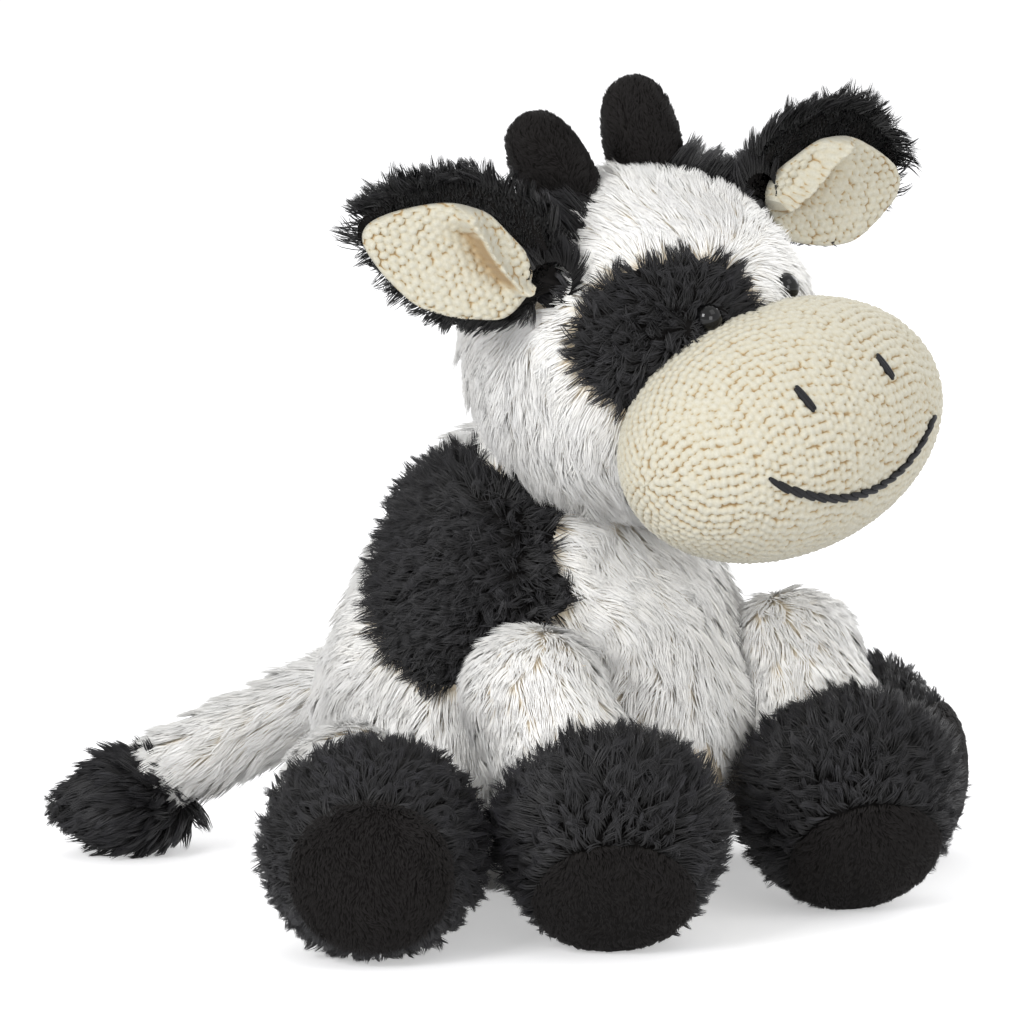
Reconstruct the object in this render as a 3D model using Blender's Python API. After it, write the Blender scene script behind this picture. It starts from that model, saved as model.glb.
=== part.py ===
"""Plush cow sitting on the floor, as separate sewn, stuffed and fastened pieces.

Metres, +Z up. The cow faces -Y and its left side is +X. The origin is on the floor, at the
middle of the toy's box. The solids stand for the dense part of the pile, not its loose tips.
"""

import math

import bmesh
import bpy
from mathutils import Matrix, Vector

# Fits between pieces
CLEARANCE = 0.0003
COVER_WALL = 0.005
FLOOR_CUT = 0.0005
CUTTER_REACH = 0.25
ROOM = 0.0007
ROOM_STEP = math.radians(6)
SEAM_SHARE = 0.93

# Where the toy stands, so that its box is centred on the origin
SHIFT_X = 0.0038
SHIFT_Y = -0.0105

# Torso
TORSO_HEIGHT = 0.158
TORSO_HALF_WIDTH = 0.074
TORSO_HALF_DEPTH = 0.078
TORSO_BACK = 0.012
TORSO_WIDTH_SHARES = (1.22, 1.14, 1.02, 0.89, 0.82, 0.84)
TORSO_DEPTH_SHARES = (1.20, 1.13, 1.00, 0.86, 0.78, 0.80)

# Neck
NECK_PLUG_RADIUS = 0.015
NECK_PLUG_LENGTH = 0.026
NECK_LEAN = math.radians(26)
NECK_HOLE_RADIUS = 0.027

# Head
HEAD_RADIUS = 0.058
HEAD_FORWARD = 0.038
HEAD_SUNK = 0.0285
HEAD_HEIGHT = TORSO_HEIGHT + HEAD_RADIUS - HEAD_SUNK
HEAD_TURN = math.radians(5)
HEAD_TILT = math.radians(10.5)
HEAD_NOD = math.radians(0)

# Muzzle
MUZZLE_WIDTH_SHARE, MUZZLE_LENGTH_SHARE, MUZZLE_HEIGHT_SHARE = 1.103, 0.681, 0.698
MUZZLE_DROP_SHARE = 0.405
MUZZLE_STAND_OFF = 0.001
MUZZLE_HALF_WIDTH = MUZZLE_WIDTH_SHARE * HEAD_RADIUS
MUZZLE_HALF_LENGTH = MUZZLE_LENGTH_SHARE * HEAD_RADIUS
MUZZLE_HALF_HEIGHT = MUZZLE_HEIGHT_SHARE * HEAD_RADIUS
MUZZLE_FORWARD = HEAD_RADIUS + MUZZLE_STAND_OFF
MUZZLE_DROP = MUZZLE_DROP_SHARE * HEAD_RADIUS
MOUTH_THREAD_RADIUS = 0.0011
MOUTH_HALF_WIDTH = 0.039
MOUTH_DROP = 0.018
MOUTH_LIFT = 0.0145
MOUTH_POINTS = 19
NOSTRIL_SPACING = 0.039
NOSTRIL_RAISE = 0.0215
NOSTRIL_LENGTH = 0.0085
NOSTRIL_RADIUS = 0.0016
NOSTRIL_LEAN = math.radians(-6)

# Safety eyes and the washers that lock them inside the head
EYE_RADIUS = 0.0045
EYE_DOME = 0.0038
EYE_SIDE_ANGLE = math.radians(20)
EYE_RAISE_ANGLE = math.radians(18.8)
SHANK_RADIUS = 0.0018
SHANK_LENGTH = 0.0105
WASHER_RADIUS = 0.0065
WASHER_THICKNESS = 0.0016

# Black panels let into the white covers
PANEL_DEPTH = 0.0025
EYE_PATCH_WIDTH = 0.060
EYE_PATCH_HEIGHT = 0.050
EYE_PATCH_SIDE_ANGLE = math.radians(34)
EYE_PATCH_RAISE_ANGLE = math.radians(14)
SIDE_PATCH_WIDTH = 0.078
SIDE_PATCH_HEIGHT = 0.070
SIDE_PATCH_TURN = math.radians(16)
SIDE_PATCH_RISE_SHARE = 0.696
EYE_PATCH_OUTLINE_SHARES = (
    (0.50, 0.05),
    (0.42, 0.38),
    (0.12, 0.50),
    (-0.28, 0.44),
    (-0.50, 0.12),
    (-0.46, -0.18),
    (-0.20, -0.46),
    (0.10, -0.50),
    (0.40, -0.36),
)
SIDE_PATCH_OUTLINE_SHARES = (
    (0.52, -0.06),
    (0.41, -0.19),
    (0.26, -0.28),
    (0.11, -0.47),
    (-0.08, -0.41),
    (-0.27, -0.30),
    (-0.44, -0.10),
    (-0.47, 0.12),
    (-0.43, 0.34),
    (-0.22, 0.46),
    (0.00, 0.48),
    (0.20, 0.42),
    (0.35, 0.30),
    (0.40, 0.12),
)

# Ears, each with a ball root that turns in a dimple of the head
EAR_LENGTH = 0.070
EAR_HALF_WIDTH = 0.024
EAR_THICKNESS = 0.0085
EAR_CUP = 0.006
EAR_ROOT_RADIUS = 0.007
EAR_FLAP = math.radians(15)
EAR_SIDE_ANGLE = math.radians(77)
RIGHT_EAR_RAISE_ANGLE, LEFT_EAR_RAISE_ANGLE = math.radians(35), math.radians(38)
EAR_STAND_OFF = 0.0045
EAR_WIDTH_SHARES = (1.50, 1.14, 1.06, 1.02, 0.86, 0.70)
LINING_START = 0.0085
LINING_LENGTH = 0.0560
LINING_HALF_WIDTH = 0.0175
LINING_THICKNESS = 0.0035
RIGHT_EAR_BACK, RIGHT_EAR_UP = math.radians(30), math.radians(27)
LEFT_EAR_BACK, LEFT_EAR_UP = math.radians(-6), math.radians(-8)

# Horns
HORN_RADIUS = 0.0125
HORN_LENGTH = 0.0415
HORN_SPACING = 0.038
HORN_BACK = 0.006
HORN_OUT = math.radians(12)
HORN_LEAN_BACK = math.radians(19)
HORN_RADIUS_SHARES = (1.10, 1.05, 1.00, 0.98, 1.02, 1.15)
HORN_SUNK = 0.012

# Front legs
FRONT_ROOT_RADIUS = 0.0245
FRONT_ANKLE_RADIUS = 0.024
SHOULDER_SIDE_SHARE, SHOULDER_FORWARD_SHARE, SHOULDER_HEIGHT_SHARE = 0.757, 0.795, 0.494
FRONT_FOOT_AHEAD = 0.017
RIGHT_FRONT_FOOT_IN, LEFT_FRONT_FOOT_IN = 0.022, 0.024
RIGHT_FRONT_TOE_TURN, LEFT_FRONT_TOE_TURN = math.radians(36), math.radians(-22)
FRONT_TOE_DOWN = math.radians(36)
FRONT_LEG_RAISE = math.radians(30)

# Hind legs
HIND_ROOT_RADIUS = 0.0285
HIND_ANKLE_RADIUS = 0.027
HIP_SIDE_SHARE, HIP_HEIGHT_SHARE = 1.054, 0.228
RIGHT_HIND_FOOT_FORWARD, LEFT_HIND_FOOT_FORWARD = 0.055, 0.042
RIGHT_HIND_FOOT_OUT, LEFT_HIND_FOOT_OUT = 0.043, 0.036
HIND_LEG_RAISE = math.radians(15)
HIND_TOE_DOWN = math.radians(-1)
RIGHT_HIND_TOE_TURN, LEFT_HIND_TOE_TURN = math.radians(41), math.radians(26)

# Feet, black boots that end in a flat sole
FOOT_HALF_WIDTH = 0.0354
FOOT_HALF_HEIGHT = 0.0334
FOOT_LENGTH = 0.062
FOOT_INSTEP_LIFT = 0.007
SOLE_THICKNESS = 0.0072
FOOT_WIDTH_SHARES = (0.86, 0.98, 1.03, 1.02, 1.04, 1.34)
FOOT_LIFT_SHARES = (0.90, 1.00, 0.90, 0.60, 0.25, 0.0)

# Tail
TAIL_ROOT_RADIUS = 0.0145
TAIL_END_RADIUS = 0.013
TAIL_BACK_SHARE, TAIL_HEIGHT_SHARE = 1.103, 0.380
TAIL_WAG = math.radians(20)
TUFT_SIDE = 0.077
TUFT_BEHIND = 0.048
TUFT_LENGTH = 0.050
TUFT_HALF_WIDTH = 0.018
TUFT_HALF_HEIGHT = 0.0165
TUFT_TURN = math.radians(64)
TUFT_WIDTH_SHARES = (0.80, 0.95, 1.05, 1.05, 0.95, 0.80)

# Filling
PELLET_BAG_HALF_WIDTH = 0.040
PELLET_BAG_HALF_DEPTH = 0.040
PELLET_BAG_HALF_HEIGHT = 0.014
PELLET_BAG_HEIGHT = 0.015

# Facets
TORSO_SEGMENTS, TORSO_RINGS = 26, 16
HEAD_SEGMENTS, HEAD_RINGS = 28, 18
CORE_SEGMENTS, CORE_RINGS = 20, 12
CORE_SEAT_SEGMENTS, CORE_SEAT_RINGS = 12, 8
LIMB_SEGMENTS, LIMB_RINGS = 18, 12
FOOT_SEGMENTS, FOOT_RINGS = 20, 12
SMALL_SEGMENTS, SMALL_RINGS = 14, 8
BORE_SEGMENTS = 16
PANEL_CURVE_STEPS = 4

RIGHT, LEFT = -1, 1


def clear_scene():
    for obj in list(bpy.data.objects):
        bpy.data.objects.remove(obj, do_unlink=True)


def new_collection(name):
    collection = bpy.data.collections.new(name)
    bpy.context.scene.collection.children.link(collection)
    return collection


def plush(name, colour, roughness):
    material = bpy.data.materials.new(name)
    material.use_nodes = True
    shader = material.node_tree.nodes["Principled BSDF"]
    shader.inputs["Base Color"].default_value = (*colour, 1.0)
    shader.inputs["Roughness"].default_value = roughness
    shader.inputs["Metallic"].default_value = 0.0
    material.diffuse_color = (*colour, 1.0)
    return material


clear_scene()
PARTS = new_collection("plush_cow")
CUTTERS = new_collection("plush_cow_cutters")
WHITE_PLUSH = ("white_plush", (0.92, 0.90, 0.85), 0.95)
BLACK_PLUSH = ("black_plush", (0.025, 0.023, 0.025), 0.9)
BLACK_VELVET = ("black_velvet", (0.016, 0.015, 0.016), 0.85)
CREAM_KNIT = ("cream_knit", (0.86, 0.80, 0.63), 0.95)
BLACK_THREAD = ("black_thread", (0.012, 0.012, 0.013), 0.6)
EYE_PLASTIC = ("eye_plastic", (0.008, 0.008, 0.009), 0.08)
WASHER_PLASTIC = ("washer_plastic", (0.82, 0.82, 0.80), 0.4)
FIBRE_FILL = ("fibre_fill", (0.93, 0.93, 0.93), 1.0)
PELLET_CLOTH = ("pellet_cloth", (0.80, 0.78, 0.72), 0.9)


def add_object(name, bm, finish):
    """A part when it has a finish, and otherwise a cutter."""
    mesh = bpy.data.meshes.new(name)
    bm.to_mesh(mesh)
    bm.free()
    obj = bpy.data.objects.new(name, mesh)
    if finish:
        PARTS.objects.link(obj)
        mesh.materials.append(plush(name + "_" + finish[0], finish[1], finish[2]))
        mesh.shade_smooth()
    else:
        CUTTERS.objects.link(obj)
        obj.hide_render = True
        obj.display_type = "WIRE"
    return obj


def put(obj, matrix):
    obj.matrix_world = matrix
    bpy.context.view_layer.update()
    return obj


def pivot_empty(name, centre):
    """The point that a moving body turns about."""
    empty = bpy.data.objects.new(name, None)
    empty.empty_display_size = CLEARANCE
    PARTS.objects.link(empty)
    return put(empty, Matrix.Translation(centre))


def carry(empty, *objects):
    for obj in objects:
        obj.parent = empty
        obj.matrix_parent_inverse = empty.matrix_world.inverted()
    bpy.context.view_layer.update()


def boolean(obj, other, operation):
    modifier = obj.modifiers.new(operation.lower() + "_" + other.name, "BOOLEAN")
    modifier.operation = operation
    modifier.solver = "EXACT"
    modifier.object = other


def cut(obj, *cutters):
    for cutter in cutters:
        boolean(obj, cutter, "DIFFERENCE")


def keep_inside(obj, other):
    boolean(obj, other, "INTERSECT")


def profile_at(values, share):
    """A smooth curve through values that are spaced evenly from share 0 to share 1."""
    place = min(max(share, 0.0), 1.0) * (len(values) - 1)
    index = min(int(place), len(values) - 2)
    t = place - index
    before = values[max(index - 1, 0)]
    here = values[index]
    there = values[index + 1]
    after = values[min(index + 2, len(values) - 1)]
    slope_here = (there - before) / 2
    slope_there = (after - here) / 2
    return (
        here * (2 * t**3 - 3 * t**2 + 1)
        + slope_here * (t**3 - 2 * t**2 + t)
        + there * (3 * t**2 - 2 * t**3)
        + slope_there * (t**3 - t**2)
    )


def unit_ball(segments, rings):
    bm = bmesh.new()
    bmesh.ops.create_uvsphere(bm, u_segments=segments, v_segments=rings, radius=1.0)
    return bm


def swelling_form(length, half_width, half_depth, width_shares, depth_shares, segments, rings):
    """A rounded form along +Z from 0 to length, whose section follows the two profiles."""
    bm = unit_ball(segments, rings)
    for vert in bm.verts:
        share = (vert.co.z + 1) / 2
        vert.co.x *= half_width * profile_at(width_shares, share)
        vert.co.y *= half_depth * profile_at(depth_shares, share)
        vert.co.z = share * length
    return bm


def ellipsoid(half_x, half_y, half_z, segments, rings):
    bm = unit_ball(segments, rings)
    for vert in bm.verts:
        vert.co = Vector((vert.co.x * half_x, vert.co.y * half_y, vert.co.z * half_z))
    return bm


def cylinder(radius, depth, segments):
    bm = bmesh.new()
    bmesh.ops.create_cone(
        bm,
        cap_ends=True,
        segments=segments,
        radius1=radius,
        radius2=radius,
        depth=depth,
    )
    return bm


def grow(bm, distance):
    """Moves every face outward by about the distance."""
    bm.normal_update()
    for vert, normal in [(v, v.normal.copy()) for v in bm.verts]:
        vert.co += normal * distance
    return bm


def flat_share(segments, rings):
    """How far out a faceted ball's flats lie, as a share of its corners."""
    return math.cos(math.pi / segments) * math.cos(math.pi / (2 * rings))


def socket_radius(radius, segments, rings):
    """Far enough out that the flat facets of the socket clear a ball that turns in it."""
    return (radius + CLEARANCE) / flat_share(segments, rings)


def root_ball_radius(seat_radius):
    """A limb's own ball, whose corners turn inside a faceted ball of the seat's radius."""
    return seat_radius * flat_share(LIMB_SEGMENTS, LIMB_RINGS)


def socket_ball(name, centre, radius, wall=0.0):
    """The cutter of a ball's seat, or with a wall the space that its seat takes inside."""
    facets = (CORE_SEAT_SEGMENTS, CORE_SEAT_RINGS) if wall else (LIMB_SEGMENTS, LIMB_RINGS)
    reach = socket_radius(radius + wall, *facets)
    ball = ellipsoid(reach, reach, reach, *facets)
    return put(add_object(name, ball, None), Matrix.Translation(centre))


def facing(direction, up_hint):
    """A rotation whose +Z is the direction and whose +Y leans to up_hint."""
    z_axis = Vector(direction).normalized()
    x_axis = Vector(up_hint).cross(z_axis).normalized()
    y_axis = z_axis.cross(x_axis)
    return Matrix((x_axis, y_axis, z_axis)).transposed().to_4x4()


def block_above(name, matrix, lift):
    """A cutter that takes away everything past a plane: the +Z side of the matrix."""
    bm = bmesh.new()
    bmesh.ops.create_cube(bm, size=CUTTER_REACH)
    middle = lift + CUTTER_REACH / 2
    return put(add_object(name, bm, None), matrix @ Matrix.Translation((0, 0, middle)))


def make_floor():
    bm = bmesh.new()
    bmesh.ops.create_cube(bm, size=2 * CUTTER_REACH)
    return put(add_object("floor_cutter", bm, None), Matrix.Translation((0, 0, -CUTTER_REACH)))


def settle(obj):
    """Lowers or lifts the object until the floor plane cuts it by the floor cut."""
    lowest = min((obj.matrix_world @ vert.co).z for vert in obj.data.vertices)
    put(obj, Matrix.Translation((0, 0, -lowest - FLOOR_CUT)) @ obj.matrix_world)


def world(x, y, z):
    return Vector((x + SHIFT_X, y + SHIFT_Y, z))


def neck_direction():
    return Vector((0, -math.sin(NECK_LEAN), math.cos(NECK_LEAN)))


def head_centre():
    return world(0, -HEAD_FORWARD, HEAD_HEIGHT)


def head_matrix():
    turn = Matrix.Rotation(HEAD_TURN, 4, "Z")
    tilt = Matrix.Rotation(-HEAD_TILT, 4, "Y")
    nod = Matrix.Rotation(HEAD_NOD, 4, "X")
    return Matrix.Translation(head_centre()) @ turn @ tilt @ nod


def on_head(side_angle, raise_angle, radius):
    """A point of the head: the side angle is measured from the face toward +X."""
    level = math.cos(raise_angle) * radius
    return Vector(
        (
            math.sin(side_angle) * level,
            -math.cos(side_angle) * level,
            math.sin(raise_angle) * radius,
        )
    )


def head_ball(name, radius, finish=None, segments=HEAD_SEGMENTS, rings=HEAD_RINGS):
    ball = ellipsoid(radius, radius, radius, segments, rings)
    return put(add_object(name, ball, finish), head_matrix())


def panel_prism(name, outline_shares, width, height, matrix, grown):
    """A cutter that runs out along +Z through a smooth closed outline."""
    curve = bpy.data.curves.new(name, "CURVE")
    curve.dimensions = "2D"
    curve.fill_mode = "BOTH"
    curve.extrude = CUTTER_REACH / 4
    curve.offset = grown
    curve.resolution_u = PANEL_CURVE_STEPS
    spline = curve.splines.new("BEZIER")
    spline.bezier_points.add(len(outline_shares) - 1)
    for point, (across, up) in zip(spline.bezier_points, outline_shares):
        point.co = (across * width, up * height, 0)
        point.handle_left_type = point.handle_right_type = "AUTO"
    spline.use_cyclic_u = True
    shape = bpy.data.objects.new(name + "_outline", curve)
    CUTTERS.objects.link(shape)
    bpy.context.view_layer.update()
    depsgraph = bpy.context.evaluated_depsgraph_get()
    mesh = bpy.data.meshes.new_from_object(shape.evaluated_get(depsgraph))
    bpy.data.objects.remove(shape, do_unlink=True)
    bm = bmesh.new()
    bm.from_mesh(mesh)
    bmesh.ops.remove_doubles(bm, verts=bm.verts, dist=CLEARANCE / 10)
    bmesh.ops.recalc_face_normals(bm, faces=bm.faces)
    prism = add_object(name, bm, None)
    return put(prism, matrix @ Matrix.Translation((0, 0, CUTTER_REACH / 4)))


# Sockets and places that several pieces share


def side_name(side):
    return "right" if side == RIGHT else "left"


def shoulder(side):
    return world(
        side * SHOULDER_SIDE_SHARE * TORSO_HALF_WIDTH,
        TORSO_BACK - SHOULDER_FORWARD_SHARE * TORSO_HALF_DEPTH,
        SHOULDER_HEIGHT_SHARE * TORSO_HEIGHT,
    )


def hip(side):
    across = side * HIP_SIDE_SHARE * TORSO_HALF_WIDTH
    return world(across, TORSO_BACK, HIP_HEIGHT_SHARE * TORSO_HEIGHT)


def tail_root():
    back = TORSO_BACK + TAIL_BACK_SHARE * TORSO_HALF_DEPTH
    return world(0, back, TAIL_HEIGHT_SHARE * TORSO_HEIGHT)


def torso_sockets():
    """Name, centre and radius of each ball that is seated in the torso, but for the head."""
    seats = [("tail", tail_root(), TAIL_ROOT_RADIUS)]
    for side in (RIGHT, LEFT):
        seats.append(("front_leg_" + side_name(side), shoulder(side), FRONT_ROOT_RADIUS))
        seats.append(("hind_leg_" + side_name(side), hip(side), HIND_ROOT_RADIUS))
    return seats


def ear_pivot(side):
    reach = HEAD_RADIUS + EAR_STAND_OFF
    raise_angle = RIGHT_EAR_RAISE_ANGLE if side == RIGHT else LEFT_EAR_RAISE_ANGLE
    return head_matrix() @ on_head(side * EAR_SIDE_ANGLE, raise_angle, reach)


def torso_shape(inset, segments, rings):
    bm = swelling_form(
        TORSO_HEIGHT,
        TORSO_HALF_WIDTH,
        TORSO_HALF_DEPTH,
        TORSO_WIDTH_SHARES,
        TORSO_DEPTH_SHARES,
        segments,
        rings,
    )
    return grow(bm, -inset) if inset else bm


def torso_keepout(name):
    bm = torso_shape(-CLEARANCE - ROOM, TORSO_SEGMENTS, TORSO_RINGS)
    return put(add_object(name, bm, None), torso_matrix())


def head_keepout(name):
    return head_ball(name, socket_radius(HEAD_RADIUS + ROOM, HEAD_SEGMENTS, HEAD_RINGS))


def make_room(limb, keepout_of, root, radius, axis, low, high):
    """Cuts a limb clear of what it is seated in, but for its seat, at turns from low to high."""
    steps = math.ceil((high - low) / ROOM_STEP)
    for step in range(steps + 1):
        turn = low + (high - low) * step / steps
        back = Matrix.Rotation(-turn, 4, axis)
        about_root = Matrix.Translation(root) @ back @ Matrix.Translation(-root)
        keepout = keepout_of(limb.name + "_keepout_" + str(step))
        put(keepout, about_root @ keepout.matrix_world)
        seat = ellipsoid(radius, radius, radius, LIMB_SEGMENTS, LIMB_RINGS)
        seat = add_object(keepout.name + "_seat", seat, None)
        cut(keepout, put(seat, about_root @ Matrix.Translation(root)))
        cut(limb, keepout)


def torso_matrix():
    return Matrix.Translation(world(0, TORSO_BACK, -FLOOR_CUT))


def torso_core(name, inset, finish):
    """The torso's inside at a depth under its skin and under all of its sockets."""
    core = put(
        add_object(name, torso_shape(inset, CORE_SEGMENTS, CORE_RINGS), finish),
        torso_matrix(),
    )
    reach = socket_radius(HEAD_RADIUS, HEAD_SEGMENTS, HEAD_RINGS) + inset
    cut(core, head_ball(name + "_head_seat", reach, None, CORE_SEGMENTS, CORE_RINGS))
    for seat, centre, radius in torso_sockets():
        cut(core, socket_ball(name + "_" + seat + "_seat", centre, radius, inset))
    return core


def neck_cylinder(name, radius, low, high, finish=None):
    """A cylinder on the neck's axis, between two distances below the head's centre."""
    matrix = (
        Matrix.Translation(head_centre())
        @ facing(neck_direction(), (0, -1, 0))
        @ Matrix.Translation((0, 0, -(low + high) / 2))
    )
    return put(add_object(name, cylinder(radius, high - low, BORE_SEGMENTS), finish), matrix)


def side_patch_matrix():
    outward = Vector((-math.cos(SIDE_PATCH_TURN), -math.sin(SIDE_PATCH_TURN), 0))
    return Matrix.Translation(world(0, TORSO_BACK, SIDE_PATCH_RISE_SHARE * TORSO_HEIGHT)) @ facing(outward, (0, 0, 1))


def make_torso(floor):
    cover = put(
        add_object("torso_cover", torso_shape(0.0, TORSO_SEGMENTS, TORSO_RINGS), WHITE_PLUSH),
        torso_matrix(),
    )
    patch = put(
        add_object("side_patch", torso_shape(0.0, TORSO_SEGMENTS, TORSO_RINGS), BLACK_PLUSH),
        torso_matrix(),
    )
    head_seat = head_ball("head_seat", socket_radius(HEAD_RADIUS, HEAD_SEGMENTS, HEAD_RINGS))
    cut(cover, floor, head_seat)
    cut(patch, head_seat)
    for seat, centre, radius in torso_sockets():
        ball = socket_ball(seat + "_seat", centre, radius)
        cut(cover, ball)
        cut(patch, ball)

    bed = add_object("side_patch_bed", torso_shape(PANEL_DEPTH, TORSO_SEGMENTS, TORSO_RINGS), None)
    put(bed, torso_matrix())
    size = (SIDE_PATCH_OUTLINE_SHARES, SIDE_PATCH_WIDTH, SIDE_PATCH_HEIGHT, side_patch_matrix())
    keep_inside(patch, panel_prism("side_patch_prism", *size, 0.0))
    cut(patch, bed)
    recess = panel_prism("side_patch_recess", *size, CLEARANCE)
    floor_of_recess = add_object(
        "side_patch_recess_bed",
        torso_shape(PANEL_DEPTH + CLEARANCE, TORSO_SEGMENTS, TORSO_RINGS),
        None,
    )
    put(floor_of_recess, torso_matrix())
    cut(recess, floor_of_recess)
    cut(cover, recess)

    cavity = torso_core("torso_cavity", COVER_WALL, None)
    cut(cover, cavity)
    seat_radius = HEAD_RADIUS - COVER_WALL
    hole = neck_cylinder(
        "torso_neck_hole",
        NECK_PLUG_RADIUS + CLEARANCE,
        seat_radius,
        seat_radius + NECK_PLUG_LENGTH,
    )
    cut(cover, hole)
    return cover, patch


def make_filling():
    stuffing = torso_core("torso_stuffing", COVER_WALL + CLEARANCE, FIBRE_FILL)
    sizes = (PELLET_BAG_HALF_WIDTH, PELLET_BAG_HALF_DEPTH, PELLET_BAG_HALF_HEIGHT)
    place = Matrix.Translation(world(0, TORSO_BACK, PELLET_BAG_HEIGHT))
    bag = ellipsoid(*sizes, SMALL_SEGMENTS, SMALL_RINGS)
    bag = put(add_object("seat_pellet_bag", bag, PELLET_CLOTH), place)
    keep_inside(bag, torso_core("pellet_bag_limit", COVER_WALL + CLEARANCE, None))
    pocket = grow(ellipsoid(*sizes, SMALL_SEGMENTS, SMALL_RINGS), CLEARANCE)
    cut(stuffing, put(add_object("pellet_pocket", pocket, None), place))
    channel = HEAD_RADIUS - COVER_WALL
    well = neck_cylinder(
        "stuffing_neck_well",
        NECK_PLUG_RADIUS + CLEARANCE,
        channel,
        channel + NECK_PLUG_LENGTH + CLEARANCE,
    )
    cut(stuffing, well)
    return stuffing, bag


def make_neck():
    """The firm plug of filling that joins torso and head, and that the head turns on."""
    inner = HEAD_RADIUS - COVER_WALL
    plug = neck_cylinder(
        "neck_stuffing", NECK_PLUG_RADIUS, inner, inner + NECK_PLUG_LENGTH, FIBRE_FILL
    )
    reach = socket_radius(inner, HEAD_SEGMENTS, HEAD_RINGS)
    cut(plug, head_ball("neck_stuffing_top", reach))
    carry(pivot_empty("neck_pivot", head_centre()), plug)
    return plug


def eye_matrix(side, radius):
    place = on_head(side * EYE_SIDE_ANGLE, EYE_RAISE_ANGLE, radius)
    return head_matrix() @ Matrix.Translation(place) @ facing(place, (0, 0, 1))


def make_eye(side):
    """A domed cap on a shank; its washer is a separate ring inside the cover."""
    name = "eye_" + side_name(side)
    dome = ellipsoid(EYE_RADIUS, EYE_RADIUS, EYE_DOME, SMALL_SEGMENTS, SMALL_RINGS)
    base = HEAD_RADIUS + CLEARANCE
    eye = put(add_object(name, dome, EYE_PLASTIC), eye_matrix(side, base))
    under = Matrix.Rotation(math.pi, 4, "X")
    cut(eye, block_above(name + "_base", eye_matrix(side, base) @ under, 0.0))
    shank = cylinder(SHANK_RADIUS, SHANK_LENGTH + EYE_DOME / 2, BORE_SEGMENTS)
    middle = base + EYE_DOME / 4 - SHANK_LENGTH / 2
    shank = put(add_object(name + "_shank", shank, None), eye_matrix(side, middle))
    boolean(eye, shank, "UNION")
    return eye


def washer_radius_at():
    """How far from the head's centre the washer's outer face lies against the cover."""
    inner = (HEAD_RADIUS - COVER_WALL - CLEARANCE) * flat_share(CORE_SEGMENTS, CORE_RINGS)
    return math.sqrt(inner**2 - WASHER_RADIUS**2)


def make_washer(side):
    name = "eye_washer_" + side_name(side)
    middle = washer_radius_at() - WASHER_THICKNESS / 2
    ring = cylinder(WASHER_RADIUS, WASHER_THICKNESS, BORE_SEGMENTS)
    washer = put(add_object(name, ring, WASHER_PLASTIC), eye_matrix(side, middle))
    bore = cylinder(SHANK_RADIUS + CLEARANCE, 2 * WASHER_THICKNESS, BORE_SEGMENTS)
    cut(washer, put(add_object(name + "_bore", bore, None), eye_matrix(side, middle)))
    return washer


def eye_patch_matrix():
    place = on_head(-EYE_PATCH_SIDE_ANGLE, EYE_PATCH_RAISE_ANGLE, HEAD_RADIUS / 2)
    return head_matrix() @ Matrix.Translation(place) @ facing(place, (0, 0, 1))


def make_head():
    cover = head_ball("head_cover", HEAD_RADIUS, WHITE_PLUSH)
    patch = head_ball("eye_patch", HEAD_RADIUS, BLACK_PLUSH)
    size = (EYE_PATCH_OUTLINE_SHARES, EYE_PATCH_WIDTH, EYE_PATCH_HEIGHT, eye_patch_matrix())
    keep_inside(patch, panel_prism("eye_patch_prism", *size, 0.0))
    cut(patch, head_ball("eye_patch_bed", HEAD_RADIUS - PANEL_DEPTH))
    recess = panel_prism("eye_patch_recess", *size, CLEARANCE)
    cut(recess, head_ball("eye_patch_recess_bed", HEAD_RADIUS - PANEL_DEPTH - CLEARANCE))
    cut(cover, recess)

    hollow = HEAD_RADIUS - COVER_WALL
    filling = hollow - CLEARANCE
    cavity = head_ball("head_cavity", hollow, None, CORE_SEGMENTS, CORE_RINGS)
    stuffing = head_ball("head_stuffing", filling, FIBRE_FILL, CORE_SEGMENTS, CORE_RINGS)
    for side in (RIGHT, LEFT):
        name = "ear_" + side_name(side)
        cut(cover, socket_ball(name + "_seat", ear_pivot(side), EAR_ROOT_RADIUS))
        walled = COVER_WALL / 2
        cut(cavity, socket_ball(name + "_cavity_seat", ear_pivot(side), EAR_ROOT_RADIUS, walled))
        walled += CLEARANCE
        cut(stuffing, socket_ball(name + "_fill_seat", ear_pivot(side), EAR_ROOT_RADIUS, walled))
        hole = cylinder(SHANK_RADIUS + CLEARANCE, 2 * SHANK_LENGTH, BORE_SEGMENTS)
        hole = put(add_object(name + "_eye_hole", hole, None), eye_matrix(side, HEAD_RADIUS))
        cut(cover, hole)
        if side == RIGHT:
            cut(patch, hole)
        pocket_depth = 2 * SHANK_LENGTH
        pocket = cylinder(WASHER_RADIUS + CLEARANCE, pocket_depth, BORE_SEGMENTS)
        pocket = add_object(name + "_washer_pocket", pocket, None)
        cut(stuffing, put(pocket, eye_matrix(side, HEAD_RADIUS)))
    cut(cover, cavity)
    neck_hole = neck_cylinder(
        "head_neck_hole", NECK_HOLE_RADIUS, hollow - COVER_WALL, HEAD_RADIUS + COVER_WALL
    )
    cut(cover, neck_hole)
    return cover, patch, stuffing


def muzzle_matrix():
    return head_matrix() @ Matrix.Translation((0, -MUZZLE_FORWARD, -MUZZLE_DROP))


def muzzle_point(x, z, lift):
    """The point of the muzzle's front over (x, z), lifted off its surface."""
    share = 1 - (x / MUZZLE_HALF_WIDTH) ** 2 - (z / MUZZLE_HALF_HEIGHT) ** 2
    y = -MUZZLE_HALF_LENGTH * math.sqrt(max(share, 0.0))
    normal = Vector(
        (x / MUZZLE_HALF_WIDTH**2, y / MUZZLE_HALF_LENGTH**2, z / MUZZLE_HALF_HEIGHT**2)
    ).normalized()
    return Vector((x, y, z)) + normal * lift


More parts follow.
